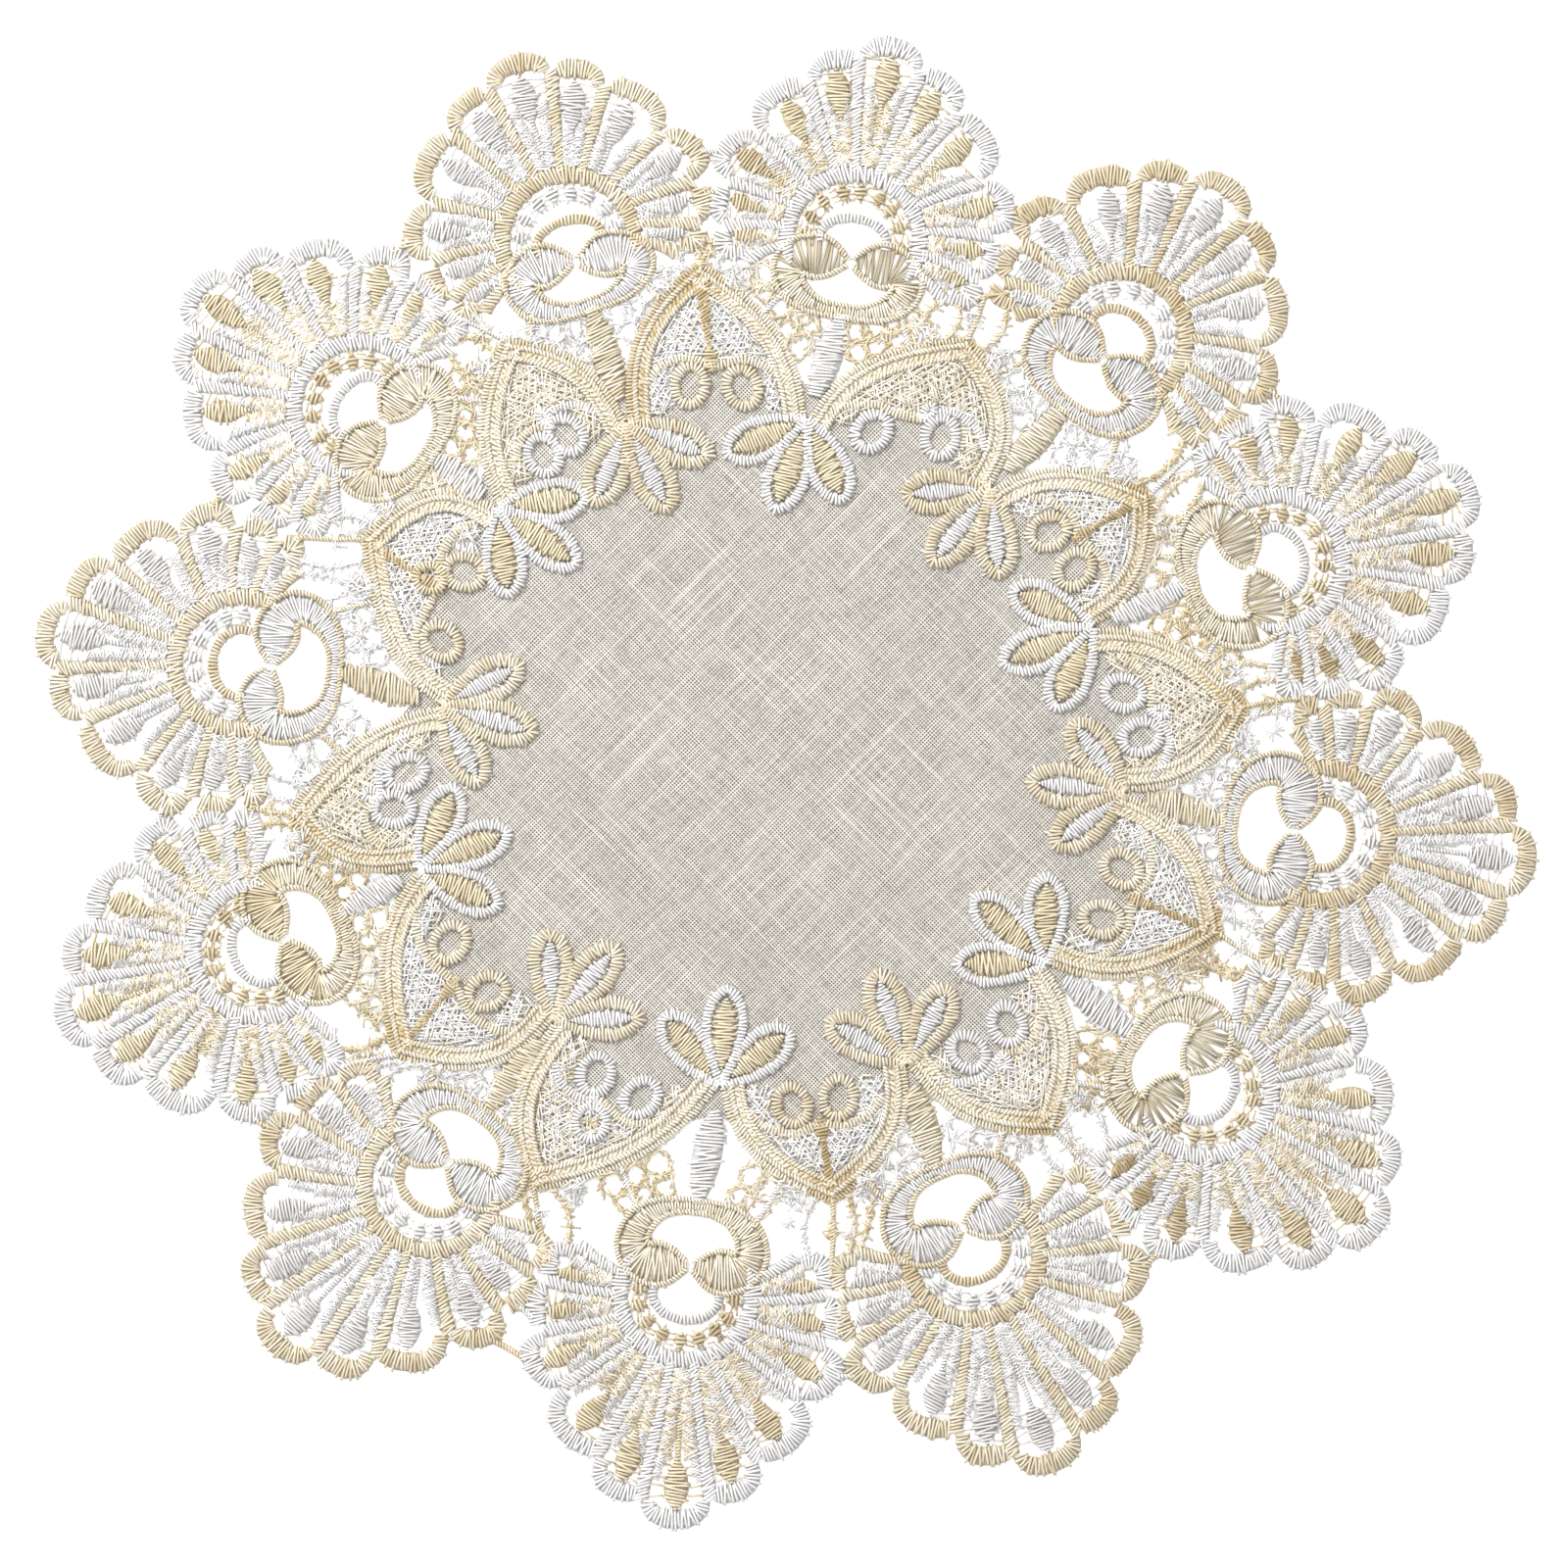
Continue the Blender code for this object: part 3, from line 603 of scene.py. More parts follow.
def stitch_tree(name, along_paths):
    """Node tree that lays a thread across every step of the paths, or one on each point."""
    tree = bpy.data.node_groups.new(name, "GeometryNodeTree")
    for label, kind in TREE_INPUTS:
        tree.interface.new_socket(label, in_out="INPUT", socket_type="NodeSocket" + kind)
    tree.interface.new_socket("Geometry", in_out="OUTPUT", socket_type="NodeSocketGeometry")
    n = Nodes(tree)
    given = n.add("NodeGroupInput")

    def stored(key):
        return n.add("GeometryNodeInputNamedAttribute", ("Name", key), data_type="FLOAT")["Attribute"]

    def uneven(low, high, step):
        seed = n.math("ADD", given["Seed"], float(step))
        limits = (("Min", low), ("Max", high), ("Seed", seed))
        value = n.add("FunctionNodeRandomValue", *limits, data_type="FLOAT")
        return n.math("MULTIPLY", value["Value"], given["Unevenness"])

    def varied(key, share, step):
        return n.math("MULTIPLY", stored(key), n.math("ADD", uneven(-share, share, step), 1.0))

    points, turn = given["Geometry"], stored("slant")
    if along_paths:
        curve = n.add("GeometryNodeMeshToCurve", ("Mesh", points))["Curve"]
        pitch = n.math("MULTIPLY", stored("pitch"), given["Spacing"])
        inputs = (("Curve", curve), ("Length", pitch))
        points = n.add("GeometryNodeResampleCurve", *inputs, mode="LENGTH")["Curve"]
        apart = n.add("ShaderNodeSeparateXYZ", (0, n.add("GeometryNodeInputTangent")[0]))
        course = n.math("ARCTAN2", apart["Y"], apart["X"])
        turn = n.math("ADD", n.math("ADD", course, turn), math.pi / 2)
    spin = n.add("ShaderNodeCombineXYZ", ("Z", n.math("ADD", turn, uneven(-0.12, 0.12, 1))))[0]
    wide = n.math("MULTIPLY", stored("pitch"), given["Thickness"])
    length, height = varied("half", 0.17, 2), varied("crown", 0.12, 3)
    size = n.add("ShaderNodeCombineXYZ", ("X", length), ("Y", wide), ("Z", height))[0]
    shape = n.add("GeometryNodeObjectInfo", ("Object", given["Thread"]))["Geometry"]
    laid = n.add("GeometryNodeInstanceOnPoints", ("Points", points), ("Instance", shape), ("Rotation", spin),
                 ("Scale", size))[0]
    shaded = n.add("GeometryNodeStoreNamedAttribute", ("Geometry", laid), ("Name", "shade"),
                   ("Value", uneven(0.0, 1.0, 4)), data_type="FLOAT", domain="INSTANCE")[0]
    real = n.add("GeometryNodeRealizeInstances", ("Geometry", shaded))[0]
    painted = n.add("GeometryNodeSetMaterial", ("Geometry", real), ("Material", given["Material"]))[0]
    n.add("NodeGroupOutput", (0, painted))


def dressed(item):
    """Puts a piece on the frame's root."""
    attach(item, "root")
    return item


def sewn(name, strokes, color, stitch):
    """Piece of one thread along the strokes: a tree lays its stitches, which become the piece's mesh."""
    item = path_object(name, strokes)
    look, material = bpy.context.scene.doily_thread, thread_material(color)
    modifier = item.modifiers.new("threads", "NODES")
    modifier.node_group = bpy.data.node_groups[stitch]
    items = modifier.node_group.interface.items_tree
    sockets = {s.name: s.identifier for s in items if s.in_out == "INPUT"}
    modifier[sockets["Thread"]] = bpy.data.objects[stitch + "_thread"]
    modifier[sockets["Material"]] = material
    for key in ("Spacing", "Thickness", "Unevenness", "Seed"):
        modifier[sockets[key]] = getattr(look, key.lower())
    item.update_tag()
    graph = bpy.context.evaluated_depsgraph_get()
    ready = item.evaluated_get(graph)
    mesh = bpy.data.meshes.new_from_object(ready, preserve_all_data_layers=True, depsgraph=graph)
    item.modifiers.clear()
    item.data = mesh
    mesh.materials.clear()
    mesh.materials.append(material)
    for key in ("half", "crown", "slant", "pitch"):
        if key in mesh.attributes:
            mesh.attributes.remove(mesh.attributes[key])
    return dressed(item)


# Section of the padding: share of the half width, share of the crown
PADDING_SECTION = ((-0.94, 0.02), (-0.5, 0.52), (0.5, 0.52), (0.94, 0.02))


def padding_rings(strokes):
    """Vertices and faces of the low padded band under each stroke, with every second point of it."""
    verts, faces = [], []
    for item in strokes:
        closed, last = item["closed"], len(item["points"]) - 1
        kept = list(range(0, last + 1, 2))
        if not closed and kept[-1] != last:
            kept.append(last)
        points, first, count = [item["points"][k] for k in kept], len(verts), len(kept)
        for k, p in enumerate(points):
            if closed:
                axis = heading(points[k - 1], points[(k + 1) % count])
            else:
                axis = heading(points[max(0, k - 1)], points[min(count - 1, k + 1)])
            base = surface_height(p) + item["raised"]
            for across, up in PADDING_SECTION:
                edge = beside(p, axis, 0.0, across * item["half"][kept[k]])
                verts.append(placed(edge, base + up * item["crown"][kept[k]]))
        for k in range(count if closed else count - 1):
            a, b = first + 4 * k, first + 4 * ((k + 1) % count)
            faces += [(a + j, a + (j + 1) % 4, b + (j + 1) % 4, b + j) for j in range(4)]
        if not closed:
            end = first + 4 * (count - 1)
            faces += [(first, first + 3, first + 2, first + 1), (end, end + 1, end + 2, end + 3)]
    return verts, faces


def padding(name, bands):
    """Piece of padding under all satin stitches, in each thread's own colour but darker: painted shade in the
    gaps between stitches.
    """
    verts, faces, kinds, materials = [], [], [], []
    for k, (color, strokes) in enumerate(sorted(bands.items())):
        more_verts, more_faces = padding_rings(strokes)
        faces += [tuple(n + len(verts) for n in face) for face in more_faces]
        verts += more_verts
        kinds += [k] * len(more_faces)
        materials.append(padding_material(color))
    mesh = new_mesh(name, verts, [], faces)
    for material in materials:
        mesh.materials.append(material)
    mesh.polygons.foreach_set("material_index", kinds)
    return dressed(new_object(name, mesh))


# ---- materials


def shader(name):
    material = bpy.data.materials.new(name)
    material.use_nodes = True
    return material, Nodes(material.node_tree)


def rgba(color, share=1.0):
    return (*[c * share for c in color], 1.0)


def thread_material(color):
    """Embroidery thread: its tone runs from the light to the dark colour; stitches and patches differ;
    painted shade darkens each thread's edges.
    """
    name = "thread_" + color
    if name in bpy.data.materials:
        return bpy.data.materials[name]
    look = bpy.context.scene.doily_thread
    light, dark = getattr(look, color), getattr(look, color + "_dark")
    material, n = shader(name)
    place, total = n.place(), n.attribute("tone")
    for source, share in ((n.attribute("shade"), 0.35), (n.noise(place, 60.0), 0.9)):
        more = n.add("ShaderNodeMath", (0, source), (1, share), (2, total), operation="MULTIPLY_ADD")[0]
        total = n.math("SUBTRACT", more, share * 0.5, clamp=True)
    # Painted shade between the threads: the edge attribute, broken up by fine noise, darkens a thread's sides
    # towards two thirds of its dark colour
    edge_painted_shade = n.math("POWER", n.attribute("edge"), look.edge_shade)
    painted_shade_breakup = n.add("ShaderNodeMapRange", ("Value", n.noise(place, 1100.0, 1.0)), ("From Min", 0.36),
                   ("From Max", 0.62), ("To Min", 0.2))[0]
    lit = n.mix(total, rgba(light), rgba(dark))
    shaded = n.mix(n.math("MULTIPLY", edge_painted_shade, painted_shade_breakup), lit, rgba(dark, 0.66))
    n.surface(("Base Color", shaded), ("Roughness", 0.52), ("Sheen Weight", 0.25), ("Sheen Roughness", 0.5))
    return material


def padding_material(color):
    """Padding in the thread's own colour, but darker as painted shade between the stitches, with a fine
    grain.
    """
    name = "padding_" + color
    if name in bpy.data.materials:
        return bpy.data.materials[name]
    look = bpy.context.scene.doily_thread
    material, n = shader(name)
    # Both colours are darkened: painted shade that shows in the gaps between stitches
    deep = rgba(getattr(look, color + "_dark"), look.padding_shade * 0.7)
    pale = rgba(getattr(look, color), look.padding_shade)
    n.surface(("Base Color", n.mix(n.noise(n.place(), 1500.0), deep, pale)), ("Roughness", 0.85))
    return material


def linen_material():
    """Plain weave on the bias: two sets of threads with slubs, dark with painted shade where four threads
    leave a hole.
    """
    look = bpy.context.scene.doily_linen
    material, n = shader("linen_weave")
    place = n.place()
    turn = n.add("ShaderNodeMapping", ("Vector", place), ("Rotation", (0.0, 0.0, look.bias)))[0]
    sway = n.vector("SCALE", n.noise(turn, 90.0, output="Color"), "Scale", look.sway)
    moved = n.vector("ADD", turn, 1, sway)
    apart = n.add("ShaderNodeSeparateXYZ", (0, moved))

    def drawn_out(axis, share, scale, detail):
        """Noise that is drawn out along the threads that cross an axis."""
        stretch = (1.0, share, 1.0) if axis == "X" else (share, 1.0, 1.0)
        return n.noise(n.vector("MULTIPLY", moved, 1, stretch), scale, detail)

    holes, tints, slubs = [], [], []
    for axis, pitch in (("X", look.warp_pitch), ("Y", look.weft_pitch)):
        wave = n.math("COSINE", n.math("MULTIPLY", apart[axis], 2 * math.pi / pitch), 0.0)
        crown = n.math("MULTIPLY", n.math("ADD", wave, 1.0), 0.5)
        holes.append(n.math("SUBTRACT", 1.0, crown))
        tints.append(drawn_out(axis, 0.12, 1800.0, 1.0))
        slubs.append(drawn_out(axis, 0.012, 3000.0, 0.0))
    hole = n.math("POWER", n.math("MULTIPLY", *holes), 0.75)
    slub = n.math("SUBTRACT", n.math("ADD", *tints), 1.0)
    patch = n.math("SUBTRACT", n.noise(place, 45.0), 0.5)
    fibres = n.math("SUBTRACT", n.noise(place, 3500.0), 0.5)
    # Painted shade in the weave's holes: darker by the hole shade strength, then mixed towards the hole shade
    # colour
    light = n.math("SUBTRACT", 0.92, n.math("MULTIPLY", hole, look.hole_shade_strength))
    bright = [n.math("MAXIMUM", n.math("SUBTRACT", slender, 0.6), 0.0) for slender in slubs]
    lights = [(source, look.slub_light) for source in bright]
    for source, share in lights + [(slub, 0.5), (patch, 0.2), (fibres, 1.1)]:
        light = n.math("ADD", light, n.math("MULTIPLY", source, share))
    light = n.math("ADD", light, 0.0, clamp=True)
    color = n.mix(light, rgba(look.hole_shade_color), rgba(look.color))
    blush = n.mix(n.math("MULTIPLY", n.noise(place, 70.0, 1.0), 0.5), color, rgba(look.blush), "MULTIPLY")
    relief = n.math("ADD", n.math("MULTIPLY", hole, -1.0), slub)
    bump = n.add("ShaderNodeBump", ("Distance", 0.0002), ("Strength", 0.5), ("Height", relief))[0]
    n.surface(("Base Color", blush), ("Normal", bump), ("Roughness", 0.82), ("Sheen Weight", 0.15))
    return material


# ---- what is sewn, part by part


class Work:
    """Strokes of satin, open satin without padding, and loose threads of one part of the lace, by colour."""

    def __init__(self):
        self.padded, self.open, self.threads = {}, {}, {}

    def sew(self, color, kind, line, half, tone, **more):
        """Padded satin of a kind along a line."""
        item = stroke(line, half, tone=tone, **{**SATIN[kind], **more})
        self.padded.setdefault(color, []).append(item)

    def lay(self, color, items):
        self.threads.setdefault(color, []).extend(items)


def colors_of(i):
    """Thread colours of a unit's cords, its leaves and its scrolls: units take turns in cream and white."""
    if i % 2 == 0:
        return {"cord": "cream", "leaf": "white", "scroll": "white", "net": "white"}
    return {"cord": "white", "leaf": "gold", "scroll": "cream", "net": "cream"}


def fan_work(work, i):
    """A fan: the cords of its scalloped edge, its ribs, its leaves, the hub ring and the beads inside it."""
    row, cord, lobes = unit(i), colors_of(i)["cord"], lobes_of(unit(i))
    rng = random.Random(50 + i)
    cream = i % 2 == 0
    cord_tone = 0.6 * TONES[i] if cream else 0.15
    shares = [math.sin(math.pi / 2 * k / 14) for k in range(-14, 15)]
    halves = [SCALLOP_HALF - SCALLOP_NARROWER * t * t for t in shares]
    for lobe in lobes:
        # Each lobe's cord grows darker towards its tip by a random amount
        dulled = rng.uniform(0.0, 0.6) * TONES[i] if cream else 0.0
        tones = [cord_tone + dulled * (1 - t * t) for t in shares]
        edge = [lobe_edge(row, lobe, t) for t in shares]
        line = offset_each(edge, [-h - CORD_GAP for h in halves])
        kept = running_on(edge, line)
        work.sew(cord, "scallop", *([values[k] for k in kept] for values in (line, halves, tones)))
    ribs = [lobes[0]["notches"][0]] + [lobe["notches"][1] for lobe in lobes]
    shares = steps(0, 1, 10)
    for deg, radius in ribs:
        turns = [deg * (RIB_GATHER + (1 - RIB_GATHER) * t) for t in shares]
        line = [on_fan_polar(row, turn, RIB_FOOT + (radius - NET_FOOT) * t) for turn, t in zip(turns, shares)]
        work.sew(cord, "rib", line, [RIB_HALF + RIB_WIDER * t * t for t in shares], cord_tone)
    for k, lobe in enumerate(lobes):
        leaf_work(work, i, lobe, LEAVES[abs(k - len(LOBES) + 1)], (ribs[k][0], ribs[k + 1][0]))
    ring = steps(-HUB_END_DEG, HUB_END_DEG, 60)
    half = [HUB_HALF * min(1.0, 0.35 + (HUB_END_DEG - abs(deg)) / 30.0) for deg in ring]
    # The hub ring's tone swings up and down round the ring
    hub_tone_swing = 0.5 * TONES[i] if cream else 0.1
    tone = [cord_tone + hub_tone_swing * (1 + math.sin(deg / 23.0 + i)) / 2 for deg in ring]
    work.sew(cord, "hub", [on_fan_polar(row, deg, HUB_RADIUS) for deg in ring], half, tone)
    bead_work(work, i)


def strand(rng, row, turns, low, high, wide, gap):
    """Crossed threads that run out from the hub ring, from one angle to another."""
    out = []
    radius = low
    while radius < high:
        deg = turns[0] + (turns[1] - turns[0]) * (radius - low) / 10.0
        turn = math.degrees(wide / radius) * rng.uniform(0.7, 1.2)
        step = rng.uniform(0.7, 1.0)
        for way in (-1, 1):
            a = on_fan_polar(row, deg - way * turn, radius)
            b = on_fan_polar(row, deg + way * turn, radius + step)
            tone = rng.uniform(-0.2, 0.7)
            out.append(thread(a, b, tone=tone, raised=rng.uniform(0.05, 0.45), wide=0.4))
        radius += rng.uniform(0.9, 1.1) * gap
    return out


def leaf_work(work, i, lobe, size, ribs):
    """Almond leaf of a lobe, the ties round it, and the net that runs from it down to the hub ring."""
    row, color, deg = unit(i), colors_of(i), lobe["leaf_deg"]
    half, length = size
    top = lobe["reach"] - LEAF_BELOW_TIP[color["leaf"]]
    low = max(top - length, LEAF_LOWEST)
    rng = random.Random(1000 * i + int(deg) + 500)
    shares = steps(0.01, 0.99, 16)
    line = [on_fan_polar(row, deg, low + (top - low) * t) for t in shares]
    halves = [half * math.sin(math.pi * t**1.25) ** 0.6 for t in shares]
    if color["leaf"] == "white":
        deep = [0.3 + 0.5 * math.sin(math.pi * t) for t in shares]
    else:
        aside = deg / 90.0
        dark = max(0.0, DARK_SIDE.get(i, 0) * aside)
        start = TONES[i] * (0.02 + 0.35 * min(1.0, abs(aside)) + 0.9 * dark)
        deep = [start * (1.25 - 0.5 * t) for t in shares]
    work.sew(color["leaf"], "leaf", line, halves, deep, slant=rng.uniform(-8.0, 8.0))
    net, along_ribs = [], []
    gap = 0.85 * RINGS[i]["net_gap"]
    for rib in ribs:
        side = 1 if deg > rib else -1
        foot = rib * RIB_GATHER
        near, far = foot + side * math.degrees(1.7 / 13.2), rib + side * math.degrees(2.1 / 23.0)
        along_ribs += strand(rng, row, (near, far), NET_FOOT, low + 3.4, 0.9, gap)
        if i % 2:
            turns = (foot + (deg - foot) * 0.85, deg + (rib - deg) * 0.3)
            net += strand(rng, row, turns, NET_FOOT, low, 0.8, gap * 1.15)
        if abs(deg - rib) > 6.5:
            turns = (foot + (deg - foot) * 0.55, rib + (deg - rib) * 0.5)
            net += strand(rng, row, turns, NET_FOOT, NET_FOOT + (low - NET_FOOT) * 0.9, 1.0, gap)
        for k in range(5):
            r = low + (top - low) * (0.16 + 0.19 * k) + rng.uniform(-0.3, 0.3)
            reach = halves[min(16, int(16 * (r - low) / (top - low)))]
            a = on_fan_polar(row, deg - side * math.degrees(reach * 0.9 / r), r)
            b = on_fan_polar(row, rib + side * math.degrees(1.0 / r), r + rng.uniform(-0.3, 0.5))
            if math.dist(a, b) < 3.6:
                net.append(thread(a, b, tone=rng.uniform(0.1, 0.7)))
    work.lay(color["net"], net)
    work.lay("white", along_ribs)
    stem = [on_fan_polar(row, deg, r) for r in steps(NET_FOOT, low + 1.2, 6)]
    work.sew(color["leaf"], "stem", stem, 0.5, deep[0])


def bead_work(work, i):
    """Beads inside the hub ring, the threads that hold them, and the ring round the opening."""
    row, color = unit(i), colors_of(i)
    rng = random.Random(int(row["fan_deg"] * 10) + 4000)
    shares = steps(-0.94, 0.94, 6)
    halves = [BEAD_HALF * math.sqrt(1 - t * t) + 0.12 for t in shares]
    ties = []
    for k in range(-4, 5):
        deg = BEAD_SPACING_DEG * k + rng.uniform(-2.0, 2.0)
        middle = BEAD_RADIUS + rng.uniform(-0.2, 0.2)
        line = [on_fan_polar(row, deg, middle + BEAD_LONG * t) for t in shares]
        work.sew(color["leaf"], "leaf", line, halves, rng.uniform(0.2, 0.5))
        for turn in (-6.5, -3.0, 3.0, 6.5):
            inner = on_fan_polar(row, deg + turn, 6.3 + 0.1 * abs(turn))
            outer = on_fan_polar(row, deg - turn * 0.6, 10.3)
            ties.append(thread(inner, outer, tone=rng.uniform(0.1, 0.5)))
        for low in (7.2, 8.4, 9.4):
            a = on_fan_polar(row, deg + 6.0, low + rng.uniform(-0.4, 0.4))
            b = on_fan_polar(row, deg + 16.5, low + rng.uniform(-0.4, 0.4))
            ties.append(thread(a, b, tone=rng.uniform(0.1, 0.5)))
    work.lay(color["leaf"], ties)
    arc = (polar(deg, 1.0) for deg in steps(-104.0, 104.0, 36))
    ring = [on_scroll(row, OPENING_ALONG + OPENING_LONG * c, OPENING_WIDE * s) for c, s in arc]
    work.sew(color["cord"], "opening", ring, 0.85, 0.45)


def scroll_work(work, i):
    """A pair of scrolls with their heads and edges, and the leaf that joins them to the palmette."""
    row, color, deep = unit(i), colors_of(i), RINGS[i]["head"]
    whole = [(a, -c, h) for a, c, h in reversed(SCROLL_LINE[1:])] + SCROLL_LINE
    places = []
    for a, c, h in smooth_line(whole, 110):
        lean = -RINGS[i]["tilt_mm"] * math.tanh(c / 4.0) * min(1.0, max(0.0, (a + 13.0) / 6.0))
        places.append((a + lean, c, h))
    line = [on_scroll(row, a, c) for a, c, h in places]
    widths = [h for a, c, h in places]
    body = [k for k, (a, c, h) in enumerate(places) if a < SCROLL_HEAD_ALONG]
    first, last = body[0], body[-1]
    for a, b, head in ((0, first + 1, True), (first, last + 1, False), (last, len(places), True)):
        if head and deep > 0.8:
            work.lay("khaki", head_threads(line, widths, a, b, deep))
            continue
        gold = head and deep > 0.1
        tone = deep if gold else (0.05 if i % 2 else 0.6) * TONES[i]
        work.sew("gold" if gold else color["scroll"], "scroll", line[a:b], widths[a:b], tone)
    if i % 2:
        rng = random.Random(400 + i)
        inner = offset_each(line, [-0.9 * w for w in widths])
        for k in range(first, last):
            if rng.random() < 0.12 + 0.4 * min(1.0, deep + 0.1):
                start = towards(line[k], inner[k], rng.uniform(-0.6, 0.0))
                streak = thread(start, inner[k], crown=1.0, tone=rng.uniform(-0.2, 0.6), raised=0.08)
                work.lay("khaki" if deep > 0.8 else "gold", [streak])
    for side in (-1, 1):
        edge = offset_each(line, [side * (w + CORD_GAP) for w in widths])
        edge = [edge[k] for k in running_on(line, edge)]
        work.sew("cream", "scroll edge", edge, SCROLL_EDGE_HALF, 0.3 if i % 2 == 0 else 0.15)
    shares = steps(0.0, 1.0, 14)
    halves = [JOINING_LEAF_HALF * math.sin(math.pi * (0.14 + 0.74 * t)) for t in shares]
    line = [towards(*leaf_ends(i), 0.16 + 0.84 * t) for t in shares]
    work.sew(color["cord"], "joining leaf", line, halves, 0.25)


def head_threads(line, widths, first, last, tone):
    """Threads across the head of a scroll in pairs, with slits between the pairs."""
    out = []
    place, count = 0.0, 0
    for k in range(first + 1, last - 1):
        place += math.dist(line[k - 1], line[k])
        if place < (0.34 if count % 2 else 0.6):
            continue
        place, count = 0.0, count + 1
        axis = heading(line[k - 1], line[k + 1])
        ends = [beside(line[k], axis, 0.0, way * widths[k]) for way in (-1, 1)]
        out.append(thread(*ends, crown=0.8, tone=tone * (0.1 + 0.6 * (count % 2)), raised=0.05, wide=0.58))
    return out


def palmette_work(work, i):
    """Three petals: a cord round each, a leaf in it and the ties between them."""
    row, color, base = unit(i), colors_of(i), palm(i)
    cream = i % 2 == 0
    cord, leaf_half = (1.2, 1.6) if cream else (0.92, 2.2)
    shares = steps(0.02, 0.98, 12)
    for turn, length in PETALS:
        out = polar(row["palm_deg"] + 180.0 + turn + row["palm_turn"], 1.0)
        tip = plus(base, out, length)
        path = [(t * length, -w * PETAL_HALF) for t, w in HALF_PETAL]
        path = smooth_line(path + [(t, -w) for t, w in reversed(path[:-1])], 60)
        line = [beside(base, out, a, c) for a, c in path]
        line = offset_each(line, [cord + CORD_GAP] * len(line))
        work.sew(color["cord"], "petal", line, cord, 0.3 * TONES[i] + 0.1 if cream else 0.0)
        leaf = [towards(base, tip, 0.16 + 0.7 * t) for t in shares]
        halves = [leaf_half * math.sin(math.pi * t**1.15) ** 0.65 for t in shares]
        work.sew(color["leaf"], "petal leaf", leaf, halves, 0.1 if cream else 0.3 * TONES[i] - 0.15)
        places = [(towards(base, tip, t), side) for t in steps(0.2, 0.86, 9) for side in (-1, 1)]
        ties = [(beside(p, out, 0.0, side), beside(p, out, 1.0, 2.9 * side)) for p, side in places]
        work.lay("white" if cream else "cream", [thread(*ends, tone=0.2) for ends in ties])


def arch_work(work, i):
    """An arch: the cords of its edge, its rays, the pair of rings and the net."""
    rise, cream = arch_rise(i), i % 2 == 0
    outline = arch_leg(i, -1, ARCH_STEPS) + arch_leg(i, 1, ARCH_STEPS)[-2::-1]
    dark_side = -1 if i % 3 == 0 else 1
    paler = 0.35 if i in WHITE_ARCHES else 0.1
    shade = []
    for k, p in enumerate(outline):
        leg = (1.5 if i % 9 == 0 else 0.5) if (k - ARCH_STEPS) * dark_side > 0 else 0.1
        tip = 1.5 * math.exp(-((math.dist(p, outline[ARCH_STEPS]) / 8.0) ** 2))
        shade.append(TONES[i] * (leg + tip) - paler)
    for band in ARCH_BANDS:
        line = offset_each(outline, [-band["inset"]] * len(outline))
        look = {key: band[key] for key in ("half", "crown", "slant", "pitch", "raised")}
        tone = [0.5 * v if band["padded"] else 0.15 + v for v in shade]
        bands = work.padded if band["padded"] else work.open
        bands.setdefault("cream", []).append(stroke(line, tone=tone, **look))
    sides = ring_places(i)
    for t in ARCH_RAYS:
        across, up = sides["left" if t < 0 else "right"]
        low = 0.1 if RAY_ACROSS * abs(t) > abs(across) + 0.22 else (up + 4.0) / rise
        shares = steps(low, 0.84, 10)
        line = [on_arch(i, RAY_ACROSS * t * (1 - share**ARCH_POWER), share * rise) for share in shares]
        white = cream and abs(t) > 0.1
        tone = 0.3 if white else [TONES[i] * (0.1 + 0.9 * share**4) for share in shares]
        halves = [1.4 * (1 - 0.7 * share**2) for share in shares]
        work.sew("white" if white else "cream", "ray", line, halves, tone)
    ring_work(work, i, sides)
    net_work(work, i, sides)


def ring_line(i, place, wide, tall, lean_deg):
    """Closed line of an upright ring in an arch, which leans by some degrees."""
    center, axis = on_arch(i, *place), polar(unit(i)["apex_deg"] + lean_deg, 1.0)
    ring = (polar(deg, 1.0) for deg in range(0, 360, 15))
    return [beside(center, axis, tall * c, wide * s) for c, s in ring]


def ring_work(work, i, sides):
    """The pair of rings, the band over each of them, and the knob where the bands meet."""
    rise, cream = arch_rise(i), i % 2 == 0
    thread_color = "cream" if cream else "white"
    top = (sides["left"][1] + sides["right"][1]) / 2 + 3.6
    for side, sign in (("left", -1), ("right", 1)):
        across, up = sides[side]
        line = ring_line(i, sides[side], RING_WIDE, RING_TALL, sign * RING_LEAN_DEG)
        work.sew(thread_color, "ring", line, 0.95, 0.2, closed=True)
        band = [(across + sign * a, up + h) for a, h in RING_BAND] + [(0.0, top)]
        band = [on_arch(i, a, h) for a, h in smooth_line(band, 20)]
        work.sew("cream" if side == "left" else thread_color, "ring band", band, 0.95, 0.15)
    if cream:
        knob = [on_arch(i, 0.0, h) for h in steps(top - 0.8, top + 3.2, 8)]
        halves = [0.7 + 0.8 * math.sin(math.pi * k / 8) for k in range(9)]
        work.sew("gold", "knob", knob, halves, 0.3 + 0.6 * TONES[i])
        stem = [on_arch(i, 0.0, h) for h in steps(top + 3.0, rise * 0.84, 8)]
        halves = [0.6 + (1.6 if i == 0 else 0.7) * k / 8 for k in range(9)]
        work.sew("gold", "arch stem", stem, halves, 0.35 + 0.8 * TONES[i])
    else:
        line = ring_line(i, (0.04, top + 1.4), 0.8, 1.5, -12.0)
        work.sew("white", "small knob", line, 0.8, 0.2, closed=True)
    for arch, across, up, color, tone, wide in EXTRA_RINGS:
        if arch == i:
            line = ring_line(i, (across, up), wide, wide + 0.2, 20.0)
            work.sew(color, "extra ring", line, 0.8, tone, raised=0.3, closed=True)
            if color == "white":
                work.lay("gold", star(random.Random(9), on_arch(i, across, up), wide - 0.6))


